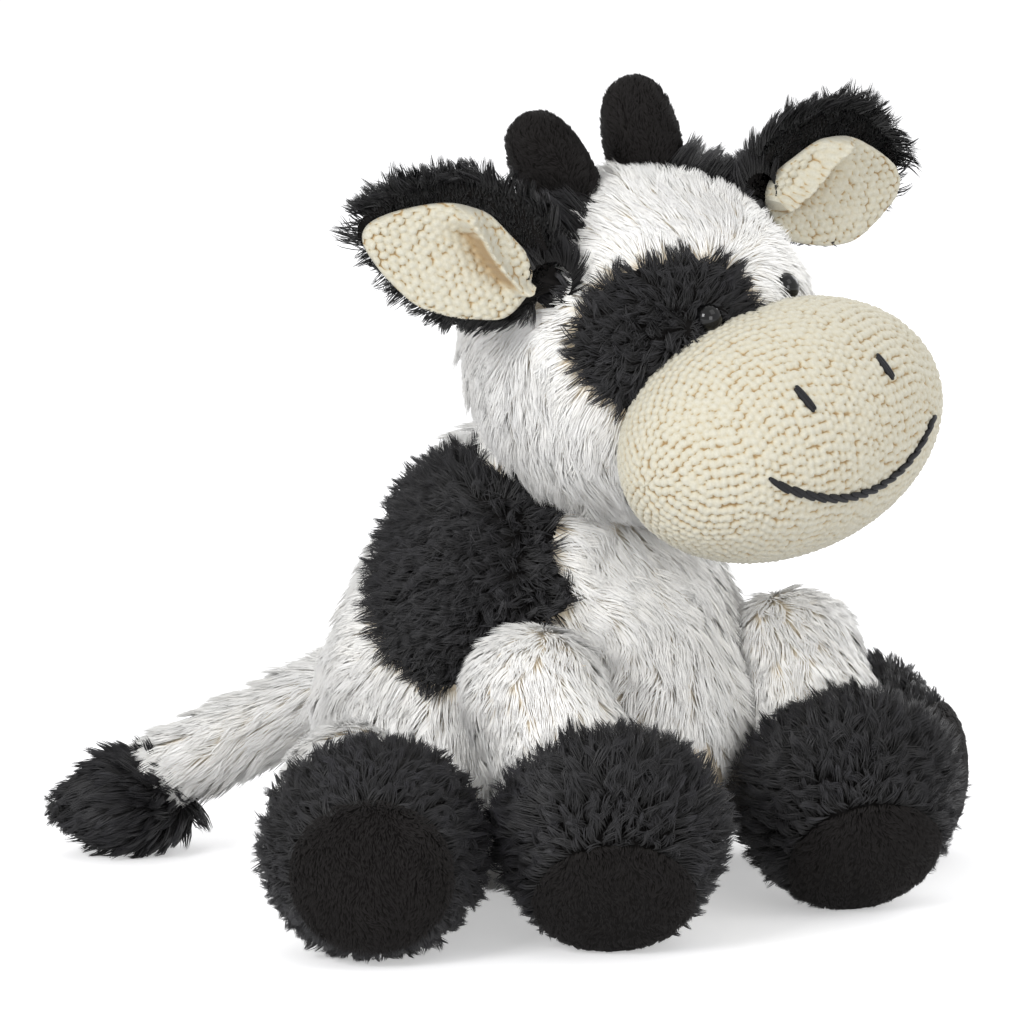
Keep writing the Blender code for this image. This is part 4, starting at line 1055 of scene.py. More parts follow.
def make_head():
    settle_piece(form_skin(HEAD, "head_skin", WHITE_BACKING), "head", "white_plush", "head_cover",
                 fill=0.8)
    shrink = (HEAD_RADIUS - PILE_DEPTH + PATCH_PROUD) / HEAD_RADIUS
    settle_piece(
        node_skin("eye_patch", "eye_patch_skin", BLACK_BACKING, SMALL_CELL,
                  lambda p: (p - HEAD_CENTRE) * shrink + HEAD_CENTRE),
        "head", "black_plush", "eye_patch",
    )
    random = np.random.default_rng(SEEDS["head"])
    grow_head_coat(random)
    grow_eye_patch(random)
    for side in (RIGHT, LEFT):
        grow_ear_root(side, random)


def clear_of_horns(points):
    return outside(points, HORNS[RIGHT], HORNS[LEFT])


def clear_of_ears(points):
    return ~(ear_arc(points, RIGHT, EAR_ARC_WHITE) | ear_arc(points, LEFT, EAR_ARC_WHITE))


def grow_head_coat(random):
    """The white coat is shorter on top of the head, and most of all towards the face."""
    points, normals = scatter(
        HEAD, LONG_WHITE.count(HEAD), random,
        lambda p: outside(p, MUZZLE, TORSO) & clear_of_eye_patch(p) & clear_of_horns(p) & clear_of_ears(p),
    )
    local = (points - HEAD_CENTRE) @ HEAD_TURNED
    top = smooth_step(*HEAD_SHORTER_BAND, local[:, 2])
    face = smooth_step(*HEAD_SHORTER_BAND, -local[:, 1])
    shares = 1.0 - HEAD_SHORTER * top * (0.4 + 0.6 * face)
    grow("head_pile", "head", LONG_WHITE, points, normals, head_flow(points), random, shares)


def grow_eye_patch(random):
    """The patch's pile fans out from between its middle and the eye, which it leaves clear."""
    points, normals = scatter(HEAD, LONG_BLACK.count(HEAD), random,
                              lambda p: outside(p, MUZZLE) & in_eye_patch(p))
    eye = head_to_world(on_head(-EYE_SIDE_ANGLE, EYE_RAISE_ANGLE, HEAD_RADIUS))
    centre = 0.5 * head_to_world(EYE_PATCH_CENTRE) + 0.5 * eye
    away = np.linalg.norm(points - eye, axis=1)
    clear = away > EYE_CLEARANCE
    points, normals, away = points[clear], normals[clear], away[clear]
    shares = 0.50 + 0.36 * smooth_step(*EYE_PATCH_SHORTER_BAND, away)
    grow("eye_patch_pile", "head", LONG_BLACK, points, normals, points - centre, random, shares)


def grow_ear_root(side, random):
    """Black pile on the head along the ear's root, and a tuft over the root's upper back."""
    axes, pivot = ear_axes(side), ear_pivot(side)
    points, normals = scatter(HEAD, LONG_BLACK.count(HEAD), random,
                              lambda p: ear_arc(p, side, EAR_ARC_BLACK) & clear_of_horns(p))
    flow = even_flow(axes[:, 0], points) + np.array(EAR_ROOT_RISE)
    away = np.linalg.norm(points - pivot, axis=1)
    shares = 0.5 + 0.5 * smooth_step(*EAR_ROOT_BAND, away)
    grow("ear_root_pile_" + side_name(side), "head", EAR_ROOT_BLACK, points, normals, flow, random,
         shares)

    def upper_back(places):
        local = (places - pivot) @ axes
        return (local[:, 1] * side > -2 * MM) & (local[:, 2] < 5 * MM) & outside(places, HEAD)

    ball = ball_form(EAR_ROOT_BALL, np.eye(3), pivot)
    points, normals = scatter(ball, 3 * EAR_ROOT_BLACK.count(ball), random, upper_back)
    flow = even_flow(axes[:, 1] * side * 0.7 - axes[:, 2] + 0.4 * axes[:, 0], points)
    grow("ear_root_tuft_" + side_name(side), "head", EAR_BLACK, points, normals, flow, random)


# Knitted pieces


# How much one bead differs from the next in place, size, height and tilt.
BEAD_SHIFT, BEAD_SIZE_CHANGE, BEAD_HEIGHT_CHANGE, BEAD_TILT_CHANGE = 0.12, 0.10, 0.08, 0.3
BEAD_TILT, BEAD_HALF_SIZE, BEAD_LEVEL, PLY_RELIEF, PLY_TWIST = 0.45, 0.60, 0.93, 0.07, 0.5
JITTER_COUNT = 1024


def beads(row_place, column_place, pitch, row_pitch, seed):
    """Moss stitch: heights of staggered slanting beads of yarn, 0 in the holes between them."""
    random = np.random.default_rng(seed)
    jitter = random.uniform(-1, 1, (4, JITTER_COUNT))
    height = np.zeros(len(row_place))
    for step in (0, 1):
        row = np.floor(row_place) + step
        column = column_place(row) + 0.5 * (row % 2)
        nearest = np.round(column)
        key = ((row * 37 + nearest * 11) % JITTER_COUNT).astype(int)
        x = (column - nearest - BEAD_SHIFT * jitter[0, key]) * pitch
        y = (row_place - row - BEAD_SHIFT * jitter[1, key]) * row_pitch
        tilt = np.where(row % 2 == 0, 1, -1) * BEAD_TILT + BEAD_TILT_CHANGE * jitter[2, key]
        long_way = x * np.cos(tilt) + y * np.sin(tilt)
        short_way = -x * np.sin(tilt) + y * np.cos(tilt)
        size = 1 + BEAD_SIZE_CHANGE * jitter[3, key]
        long_share = long_way / (BEAD_HALF_SIZE * pitch * size)
        short_share = short_way / (BEAD_HALF_SIZE * row_pitch * size)
        level = 1 - long_share**2 - short_share**2
        plies = PLY_RELIEF * np.cos(2 * np.pi * (short_way + PLY_TWIST * long_way) / PLY_WIDTH)
        change = 1 + BEAD_HEIGHT_CHANGE * jitter[2, key]
        bead = np.sqrt(np.maximum(level, 0)) * (BEAD_LEVEL + plies) * change
        height = np.maximum(height, np.minimum(bead, 1))
    return height


def make_muzzle():
    """Rows run round the muzzle's long axis, each with as many stitches as fit."""
    rows, columns = ((246, 380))
    u, v = grid_shares(rows, columns)
    polar, around = np.pi * v, 2 * np.pi * u
    ring = np.sin(polar)
    sphere = np.column_stack((-np.cos(polar), ring * np.cos(around), ring * np.sin(around)))
    local = sphere * MUZZLE_HALF
    normal = unit(sphere / MUZZLE_HALF)
    line = np.linspace(0, np.pi, 2000)
    steps = np.hypot(np.diff(-np.cos(line)) * MUZZLE_HALF[0], np.diff(np.sin(line)) * MUZZLE_HALF[2])
    arc = np.concatenate(([0], np.cumsum(steps)))
    row_place = np.interp(polar, line, arc) / STITCH_ROW

    def column_place(row):
        radius = np.sin(np.interp(row * STITCH_ROW, arc, line)) * MUZZLE_HALF[2]
        return u * np.maximum(3, np.round(2 * np.pi * radius / STITCH_PITCH))

    relief = beads(row_place, column_place, STITCH_PITCH, STITCH_ROW, SEEDS["muzzle_knit"])
    local = local + normal * ((relief - 0.5) * STITCH_RELIEF)[:, None]
    centre = np.array((0, MUZZLE_FORWARD, MUZZLE_DROP))
    offset = local - centre
    reach = HEAD_RADIUS - 1.0 * MM
    flat_square = offset[:, 0] ** 2 + offset[:, 2] ** 2
    hidden = np.linalg.norm(offset, axis=1) < reach
    seat = centre[1] - np.sqrt(np.maximum(reach**2 - flat_square, 0))
    local[hidden, 1] = np.minimum(local[hidden, 1], seat[hidden])
    ends = np.array(((-MUZZLE_HALF[0], 0, 0), (MUZZLE_HALF[0], 0, 0)))
    vertices = np.vstack((local, ends)) @ HEAD_TURNED.T + MUZZLE_PLACE
    # The relief also sets the colour, with painted shade in the holes between the beads.
    relief = np.append(relief, (0.7, 0.7))
    obj = mesh_object("muzzle_knit", vertices, closed_grid(rows, columns), KNIT, (("relief", relief),))
    lay_out_grid(obj, u, v)
    settle_piece(obj, "head", "cream_knit", "muzzle", fill=0.85)


def muzzle_point(x, z, lift):
    """A place just above the muzzle's face, in world places."""
    share = max(1 - (x / MUZZLE_HALF[0]) ** 2 - (z / MUZZLE_HALF[2]) ** 2, 0)
    local = np.array((x, -MUZZLE_HALF[1] * math.sqrt(share), z))
    return HEAD_TURNED @ (local + unit(local / MUZZLE_HALF**2) * lift) + MUZZLE_PLACE


def capsules(name, starts, ends, radius, material):
    """Rounded short threads from start to end, as one mesh."""
    around, rings = 8, 8
    vertices, faces = [], []
    for start, end in zip(starts, ends):
        axis = unit(end - start)
        length = np.linalg.norm(end - start)
        across = unit(np.cross(axis, (0.3, 0.5, 0.8)))
        other = np.cross(axis, across)
        first = len(vertices)
        for ring in range(1, rings):
            polar = math.pi * ring / rings
            size = radius * math.sin(polar) ** 0.6
            place = (start + end) / 2 - axis * math.cos(polar) * length / 2
            for step in range(around):
                angle = 2 * math.pi * step / around
                vertices.append(place + (across * math.cos(angle) + other * math.sin(angle)) * size)
        low, high = len(vertices), len(vertices) + 1
        vertices.append(start)
        vertices.append(end)
        for ring in range(rings - 2):
            for step in range(around):
                a = first + ring * around + step
                b = first + ring * around + (step + 1) % around
                faces.append((a, b, b + around))
                faces.append((a, b + around, a + around))
        top = first + (rings - 2) * around
        for step in range(around):
            after = (step + 1) % around
            faces.append((first + after, first + step, low))
            faces.append((top + step, top + after, high))
    return mesh_object(name, np.array(vertices), [np.array(faces)], material)


MOUTH_STITCHES, MOUTH_STITCH_REACH, MOUTH_SLANT = 17, 0.9, 1.3 * MM
MOUTH_SHIFT_X, MOUTH_SHIFT_Z, MOUTH_STAND_OFF, MOUTH_THREAD = -1.0 * MM, 1.5 * MM, 0.9 * MM, 1.0 * MM
NOSTRIL_SHIFT_X, NOSTRIL_SHIFT_Z = {RIGHT: 1.0 * MM, LEFT: 3.0 * MM}, 2.2 * MM
NOSTRIL_GAP_X, NOSTRIL_GAP_Z, NOSTRIL_STAND_OFF, NOSTRIL_THREAD = 0.9 * MM, 0.6 * MM, 0.7 * MM, 0.95 * MM


def make_stitches():
    """The mouth is a line of slanting stem stitches, and each nostril two satin stitches."""
    starts, ends = [], []
    for index in range(MOUTH_STITCHES):
        for shift, target in ((-MOUTH_STITCH_REACH, starts), (MOUTH_STITCH_REACH, ends)):
            across = min(max(2 * (index + 0.5 + shift) / MOUTH_STITCHES - 1, -1), 1)
            x = across * MOUTH_HALF_WIDTH + MOUTH_SHIFT_X
            z = -MOUTH_DROP + MOUTH_LIFT * across**2 - shift * MOUTH_SLANT + MOUTH_SHIFT_Z
            target.append(muzzle_point(x, z, MOUTH_STAND_OFF))
    mouth = capsules("mouth_stem_stitch", starts, ends, MOUTH_THREAD, THREAD)
    settle_piece(mouth, "head", "black_thread", "mouth_stitch")
    for side in (RIGHT, LEFT):
        starts, ends = [], []
        for line in (-0.5, 0.5):
            for along, target in ((-0.5, starts), (0.5, ends)):
                x = side * NOSTRIL_SPACING / 2 - along * NOSTRIL_LENGTH * math.sin(NOSTRIL_SLANT)
                x += line * NOSTRIL_GAP_X - NOSTRIL_SHIFT_X[side]
                z = NOSTRIL_RAISE + along * NOSTRIL_LENGTH * math.cos(NOSTRIL_SLANT) - NOSTRIL_SHIFT_Z
                target.append(muzzle_point(x, z + line * NOSTRIL_GAP_Z, NOSTRIL_STAND_OFF))
        piece = capsules("nostril_satin_stitch_" + side_name(side), starts, ends, NOSTRIL_THREAD, THREAD)
        settle_piece(piece, "head", "black_thread", "nostril_stitch_" + side_name(side))


EYE_SUNK, EYE_RIM_HEIGHT, EYE_BACK_SHARE = 0.4 * MM, 0.1 * MM, 0.93
EYE_SHANK_RADIUS, EYE_SHANK_LENGTH = 1.8 * MM, 10 * MM


def make_eyes():
    """Domed caps with a thin rim, each on the shank that holds its washer."""
    for side in (RIGHT, LEFT):
        place = on_head(side * EYE_SIDE_ANGLE, EYE_RAISE_ANGLE, HEAD_RADIUS - EYE_SUNK)
        axes = HEAD_TURNED @ facing(place, UPWARD)
        outline = [(0.0, EYE_DOME)]
        outline += [(math.sin(a) * EYE_RADIUS, math.cos(a) * EYE_DOME) for a in np.linspace(0.1, 1.5, 14)]
        outline += [(EYE_RADIUS, EYE_RIM_HEIGHT), (EYE_RADIUS * EYE_BACK_SHARE, 0.0)]
        outline += [(EYE_SHANK_RADIUS, 0.0), (EYE_SHANK_RADIUS, -EYE_SHANK_LENGTH)]
        outline.append((0.0, -EYE_SHANK_LENGTH))
        piece = lathe("eye_dome_" + side_name(side), outline, axes, head_to_world(place), EYE_PLASTIC)
        settle_piece(piece, "head", "eye_plastic", "eye_" + side_name(side))


def lathe(name, outline, axes, centre, material):
    """A turned piece: the outline's radii and heights, swept round the last of the axes."""
    segments = 32
    inner = np.array(outline[1:-1])
    angles = np.linspace(0, 2 * np.pi, segments, endpoint=False)
    rings = [np.column_stack((radius * np.cos(angles), radius * np.sin(angles),
                              np.full(segments, height))) for radius, height in inner]
    ends = np.array(((0, 0, outline[0][1]), (0, 0, outline[-1][1])))
    vertices = np.vstack((*rings, ends)) @ np.asarray(axes).T + centre
    faces = [block[:, ::-1] for block in closed_grid(len(inner), segments)]
    return mesh_object(name, vertices, faces, material)


# Ears and horns


def drawn_in_root(local):
    """The ball at the ear's root, made slimmer so that the head's fur closes over it."""
    slimmer = 1 - EAR_ROOT_SLIMMING * (1 - smooth_step(2 * MM, 14 * MM, local[:, 0]))[:, None]
    return local * np.where(np.arange(3) > 0, slimmer, 1.0) + (slimmer - 1) * np.array((9 * MM, 0, 0))


def leaf_form(side, front):
    """One face of an ear with its rounded edge; front is 1 or -1."""

    def shape(u, v):
        polar, around = np.pi * v, 2 * np.pi * u
        share = (1 - np.cos(polar)) / 2
        ring = np.sin(polar)
        x = share * EAR_LENGTH
        y = ring * np.cos(around) * EAR_HALF_WIDTH * profile_at(EAR_WIDTH_SHARES, share)
        z = np.maximum(-ring * np.sin(around) * front, 0) * EAR_THICKNESS
        return ear_shape(side, np.column_stack((x, y, -z + ear_bend(y))))

    return Form(shape, ear_axes(side), ear_pivot(side))


def ear_bend(y):
    return EAR_CUP * (y / EAR_HALF_WIDTH) ** 2


def ear_shape(side, local):
    """The lower edge of an ear is drawn up behind its lining."""
    lower = local[:, 1] * side < 0
    y = np.where(lower, local[:, 1] * EAR_LOWER_SHARE, local[:, 1])
    return np.column_stack((local[:, 0] * EAR_SHOWN_SHARE, y, local[:, 2]))


def lining_half(share, upper):
    """Half the lining's width; its upper half runs in straight to the root."""
    ring = np.sqrt(np.clip(1 - (2 * share - 1) ** 2, 0, 1))
    drawn_in = 1 - 0.36 * (1 - smooth_step(0.0, 0.42, share)) * upper
    return LINING_SHOWN_WIDTH * profile_at(EAR_WIDTH_SHARES, share) * ring * drawn_in


def on_lining(local, side, margin):
    share = (local[:, 0] - LINING_SHOWN_START) / LINING_SHOWN_LENGTH
    y = local[:, 1] - side * LINING_SHIFT[side]
    inside = np.abs(y) < lining_half(np.clip(share, 0, 1), y * side > 0) - margin
    return inside & (share > 0) & (share < 1)


# An ear's lower half carries less pile than its upper half, and less still towards its tip.
EAR_LOWER_HALF, EAR_OUTER_PART, EAR_TIP_PART = -0.35, 0.45, 0.72
EAR_SPARSE_OUTER, EAR_SPARSE_INNER = 0.20, 0.6
EAR_LOWER_COMB_LEFT = -1.6
EAR_LOWER_LENGTH = {RIGHT: 0.8, LEFT: 0.62}


def make_ear(side):
    name = side_name(side)
    axes, pivot = ear_axes(side), ear_pivot(side)
    body = "ear_" + name
    settle_piece(
        node_skin(body, "ear_back_skin_" + name, BLACK_BACKING, EAR_CELL,
                  lambda p: ear_shape(side, drawn_in_root((p - pivot) @ axes)) @ axes.T + pivot),
        body, "black_plush", body, fill=0.3,
    )
    random = np.random.default_rng(SEEDS["ear", side])
    form = leaf_form(side, 1)
    points, normals = scatter(form, EAR_BLACK.count(form), random, lambda p: outside(p, HEAD))
    local = (points - pivot) @ axes
    facing_back = (normals @ axes)[:, 2] < -0.05
    up = local[:, 1] * side / EAR_HALF_WIDTH
    along = local[:, 0] / EAR_LENGTH
    kept = facing_back | ~on_lining(local, side, 1.0 * MM)
    lower = up < EAR_LOWER_HALF
    sparse = np.where(along > EAR_OUTER_PART, EAR_SPARSE_OUTER, EAR_SPARSE_INNER)
    lower |= (along > EAR_TIP_PART) & (up < 0.15)
    kept &= ~lower | (random.uniform(0, 1, len(points)) < sparse)
    points, normals, local, up, along = (a[kept] for a in (points, normals, local, up, along))
    lower = up < EAR_LOWER_HALF
    outward = np.sign(up) * (0.25 + 1.1 * np.abs(up))
    ahead = 0.65 + 1.4 * smooth_step(0.7, 1.0, along)
    behind = np.where(lower & (side == LEFT), EAR_LOWER_COMB_LEFT, 0.0)
    flow = np.column_stack((ahead, outward * side, behind)) @ axes.T
    shares = np.where(lower, EAR_LOWER_LENGTH[side], 1 + 0.1 * smooth_step(0.1, 0.6, up))
    grow("ear_pile_" + name, body, EAR_BLACK, points, normals, flow, random, shares)
    make_lining(side)


# The fold in the lining runs between two places, given as shares along the lining and across it.
FOLD_START, FOLD_END = np.array((0.0, -0.45)), np.array((0.50, 0.78))
FOLD_HEIGHT, FOLD_INNER_WIDTH, FOLD_OUTER_WIDTH = 7.0 * MM, 2.1 * MM, 5.4 * MM
# The hollow's widths also set how far the fold's painted shadow reaches.
HOLLOW_DEPTH, HOLLOW_INNER_WIDTH, HOLLOW_OUTER_WIDTH = 3.6 * MM, 7.5 * MM, 0.6 * MM
LINING_LIFT, LINING_BACK_THICKNESS, LINING_EDGE_WIDTH = 0.9 * MM, 0.6 * MM, 6 * MM
LINING_EDGE_POWER = 0.55
LINING_GRID, LINING_FIRST_ROW = (120, 170), 40


def make_lining(side):
    """The knitted front of the ear: a thick rolled edge, a fold at the root and a hollow under it,
    darkened as painted shadow of the fold.
    """
    name = side_name(side)
    axes, pivot = ear_axes(side), ear_pivot(side)
    rows, columns = LINING_GRID
    u, v = grid_shares(rows, columns)
    share = (1 - np.cos(np.pi * v)) / 2
    half = lining_half(share, np.cos(2 * np.pi * u) * side > 0)
    x = LINING_SHOWN_START + share * LINING_SHOWN_LENGTH
    across = np.cos(2 * np.pi * u)
    y = half * across
    front = np.sin(2 * np.pi * u)
    thick = np.sign(front) * np.abs(front) ** LINING_EDGE_POWER
    upper = smooth_step(0.0, 0.5, front)
    level = np.where(front > 0, LINING_THICKNESS * thick, LINING_BACK_THICKNESS * thick)
    edge = np.minimum(1, half / LINING_EDGE_WIDTH)
    place = np.column_stack((share, across * side)) - FOLD_START
    reach = FOLD_END - FOLD_START
    near = np.clip(place @ reach / reach.dot(reach), 0, 1)
    gap = (place - near[:, None] * reach) * np.array((LINING_SHOWN_LENGTH, LINING_SHOWN_WIDTH))
    inner = (place[:, 0] * reach[1] - place[:, 1] * reach[0]) > 0
    away = np.sum(gap**2, axis=1)
    fold = FOLD_HEIGHT * np.exp(-(away / np.where(inner, FOLD_INNER_WIDTH, FOLD_OUTER_WIDTH) ** 2))
    under = np.where(inner, np.exp(-away / HOLLOW_INNER_WIDTH**2), np.exp(-away / HOLLOW_OUTER_WIDTH**2))
    under = under * smooth_step(0.04, 0.30, near) * (1 - smooth_step(0.74, 0.96, near)) * upper
    z = LINING_LIFT + level * edge + fold * upper - HOLLOW_DEPTH * under
    relief = beads(y / STITCH_ROW + LINING_FIRST_ROW, lambda row: x / STITCH_PITCH, STITCH_PITCH,
                   STITCH_ROW, SEEDS["lining_knit"])
    z = z + (relief - 0.5) * STITCH_RELIEF * upper
    y = y + side * LINING_SHIFT[side]
    local = np.column_stack((x, y, z + ear_bend(y)))
    ends = np.array(((LINING_SHOWN_START, side * LINING_SHIFT[side], 1 * MM),
                     (LINING_SHOWN_START + LINING_SHOWN_LENGTH, side * LINING_SHIFT[side], 1 * MM)))
    vertices = np.vstack((local, ends)) @ axes.T + pivot
    # In the hollow the colour is darkened as well: painted shadow cast by the fold.
    relief = np.append(relief * (1 - under), (0.6, 0.6))
    obj = mesh_object("ear_lining_knit_" + name, vertices, closed_grid(rows, columns), KNIT,
                      (("relief", relief),))
    lay_out_grid(obj, u, v)
    settle_piece(obj, "ear_" + name, "cream_knit", "ear_lining_" + name, fill=0.2)


def make_horn(side):
    name = side_name(side)
    form = HORNS[side]
    settle_piece(node_skin("horn_" + name, "horn_skin_" + name, BLACK_BACKING, SMALL_CELL), "head",
                 "black_velvet", "horn_" + name, fill=0.9)
    random = np.random.default_rng(SEEDS["horn", side])
    points, normals = scatter(form, VELVET.count(form), random, lambda p: outside(p, HEAD))
    flow = even_flow(form.axis, points)
    grow("horn_nap_" + name, "head", VELVET, points, normals, flow, random)


# Torso


SIDE_PATCH_BAND, RIM_BAND = (3 * MM, 14 * MM), (2 * MM, 14 * MM)
LIMB_BAND, LIMB_COAT_BAND, TOWARD_LEG = (4 * MM, 22 * MM), (0, 20 * MM), 0.35
FLANK_COMB, FLANK_BAND = (0, 0.45, 0), (0.2, 0.9)


def root_gap(leg, places):
    """How far outside the ball at a leg's root each place lies."""
    return np.linalg.norm(places - leg.place, axis=1) - leg.root_radius


def torso_flow(points):
    """Down, and back along the flanks; near a limb it follows the limb."""
    local = points - world(0, TORSO_BACK, 0)
    flank = smooth_step(*FLANK_BAND, np.abs(local[:, 0]) / TORSO_HALF_WIDTH)[:, None]
    flow = down_flow(points) + np.array(FLANK_COMB) * flank
    for leg in LEGS.values():
        near = (1 - smooth_step(*LIMB_BAND, root_gap(leg, points)))[:, None]
        toward = unit(leg.place - points)
        flow = unit(flow) * (1 - near) + (TOWARD_LEG * toward + unit(leg.combed)) * near
    gap, out = patch_gap(points, SIDE_PATCH_AXES, SIDE_PATCH_PLACE, SIDE_PATCH_LINE)
    near = (1 - smooth_step(*SIDE_PATCH_BAND, gap))[:, None]
    return flow * (1 - near) + (SIDE_PATCH_COMB_LEFT * flow + out) * near


def make_torso():
    settle_piece(form_skin(TORSO, "torso_skin", WHITE_BACKING, 80, 100), "torso", "white_plush",
                 "torso_cover", fill=0.8)
    settle_piece(
        node_skin("side_patch", "side_patch_skin", BLACK_BACKING, SMALL_CELL,
                  lambda p: p - SIDE_PATCH_OUT * (PILE_DEPTH - PATCH_PROUD)),
        "torso", "black_plush", "side_patch",
    )
    random = np.random.default_rng(SEEDS["torso"])
    blockers = (HEAD, *LEGS.values(), TAIL)
    points, normals = scatter(TORSO, LONG_WHITE.count(TORSO), random,
                              lambda p: outside(p, HEAD, TAIL) & clear_of_legs(p, ROOT_OVERLAP)
                              & above_floor(p) & ~under_side_patch(p))
    gap = np.min([root_gap(leg, points) for leg in LEGS.values()], axis=0)
    shares = 1 + 0.05 * (1 - smooth_step(*RIM_BAND, gap))
    start, end = BELLY_PARTING
    near = np.clip((points - start) @ (end - start) / np.sum((end - start) ** 2), 0, 1)[:, None]
    parting = np.linalg.norm(points - start - near * (end - start), axis=1)
    shares = shares * (0.55 + 0.45 * smooth_step(BELLY_GAP, 3 * BELLY_GAP, parting))
    kept = parting > BELLY_GAP
    grow("torso_pile", "torso", LONG_WHITE, points[kept], normals[kept], torso_flow(points[kept]), random,
         shares[kept], coat=torso_coat)
    points, normals = scatter(TORSO, LONG_BLACK.count(TORSO), random,
                              lambda p: outside(p, *blockers) & under_side_patch(p))
    gap, out = patch_gap(points, SIDE_PATCH_AXES, SIDE_PATCH_PLACE, SIDE_PATCH_LINE)
    rim = (1 - smooth_step(*RIM_BAND, gap))[:, None]
    flow = unit(down_flow(points) + np.array(PATCH_COMB)) * (1 - 0.6 * rim) + out * rim
    grow("side_patch_pile", "torso", LONG_BLACK, points, normals, flow, random,
         1 - 0.05 * rim[:, 0])


# Legs, feet and tail


LEG_TOP_PART, LEG_TOP_SHORTER, HIND_FOOT_LENGTH = 0.7, 0.25, 0.8
FOOT_RIM_BAND, FOOT_RIM_SHORTER, FOOT_RIM_RISE, FOOT_DROOP = (0.55, 0.95), 0.25, 0.25, 0.2
SOLE_FAN = 0.4
TAIL_DROOP, TAIL_TAPER, TAIL_SHORTER = (0, 0, -0.25), 12 * MM, 0.45
TUFT_DROOP, TUFT_SHORTER = 0.35, 0.15


def away_from_leg(leg, places):
    """Directions straight out of a leg's middle line."""
    local = leg.local(places)
    local[:, 2] = local[:, 2] - np.clip(local[:, 2], 0, leg.reach)
    return unit(local @ leg.turn.T)


def clear_of_legs(points, overlap):
    """Outside all legs, or no deeper in one than the overlap."""
    kept = np.ones(len(points), bool)
    for leg in LEGS.values():
        kept &= ~leg.inside(points + away_from_leg(leg, points) * overlap)
    return kept


def torso_coat(places, normals):
    """The torso's coat, running smoothly into the coat of a leg beside it."""
    level = normals
    for leg in LEGS.values():
        near = 0.5 * (1 - smooth_step(*LIMB_COAT_BAND, root_gap(leg, places)))[:, None]
        level = unit(level * (1 - near) + away_from_leg(leg, places) * near)
    return level


def make_leg(kind, side):
    name = kind + "_leg_" + side_name(side)
    leg, foot = LEGS[kind, side], FEET[kind, side]
    settle_piece(form_skin(leg, name + "_skin", WHITE_BACKING), name, "white_plush", name, fill=0.7)
    random = np.random.default_rng(SEEDS[kind, side])
    points, normals = scatter(leg, LEG_WHITE.count(leg), random,
                              lambda p: outside(p + unit(p - TORSO.middle()) * ROOT_OVERLAP, TORSO)
                              & outside(p, foot) & above_floor(p))
    flow = even_flow(leg.combed, points)
    top = 1 - smooth_step(0, LEG_TOP_PART * leg.reach, leg.local(points)[:, 2])
    if kind == "hind":
        top = np.ones(len(points))
    grow(name + "_pile", name, LEG_WHITE, points, normals, flow, random, 1 - LEG_TOP_SHORTER * top,
         coat=lambda places, _: away_from_leg(leg, places))
    make_foot(kind, side, name, random)
    make_sole(kind, side, name, random)


def make_foot(kind, side, body, random):
    """Pile radiates from the sole's rim back over the foot."""
    foot, leg = FEET[kind, side], LEGS[kind, side]
    node = kind + "_foot_" + side_name(side)
    skin = form_skin(foot, node + "_skin", BLACK_BACKING, depth=DEEP_PILE)
    settle_piece(skin, body, "black_plush", node, fill=0.8)
    edge = FOOT_LENGTH - SOLE_THICKNESS
    points, normals = scatter(foot, FOOT_BLACK.count(foot), random,
                              lambda p: (foot.local(p)[:, 2] < edge) & above_floor(p))
    away = np.sum((points - foot.centre) * leg.axis, axis=1)
    open_side = ~(leg.inside(points) & (away < 0))
    points, normals = points[open_side], normals[open_side]
    rim = smooth_step(*FOOT_RIM_BAND, foot.local(points)[:, 2] / edge)
    flow = even_flow(-foot.toe, points) + FOOT_DROOP * down_flow(points)
    size = HIND_FOOT_LENGTH if kind == "hind" else 1.0
    grow(node + "_pile", body, FOOT_BLACK, points, normals, flow, random,
         size * (1 - FOOT_RIM_SHORTER * rim), FOOT_RIM_RISE * rim)


def make_sole(kind, side, body, random):
    foot = FEET[kind, side]
    node = kind + "_sole_" + side_name(side)
    settle_piece(node_skin(node, node + "_skin", BLACK_BACKING, SMALL_CELL), body, "black_velvet", node,
                 fill=0.6)
    edge = FOOT_LENGTH - SOLE_THICKNESS
    points, normals = scatter(foot, VELVET.count(foot), random,
                              lambda p: (foot.local(p)[:, 2] >= edge) & above_floor(p))
    up = facing(foot.toe, UPWARD)[:, 1]
    flow = even_flow(-up, points) + SOLE_FAN * unit(points - foot.centre)
    grow(node + "_nap", body, VELVET, points, normals, flow, random)


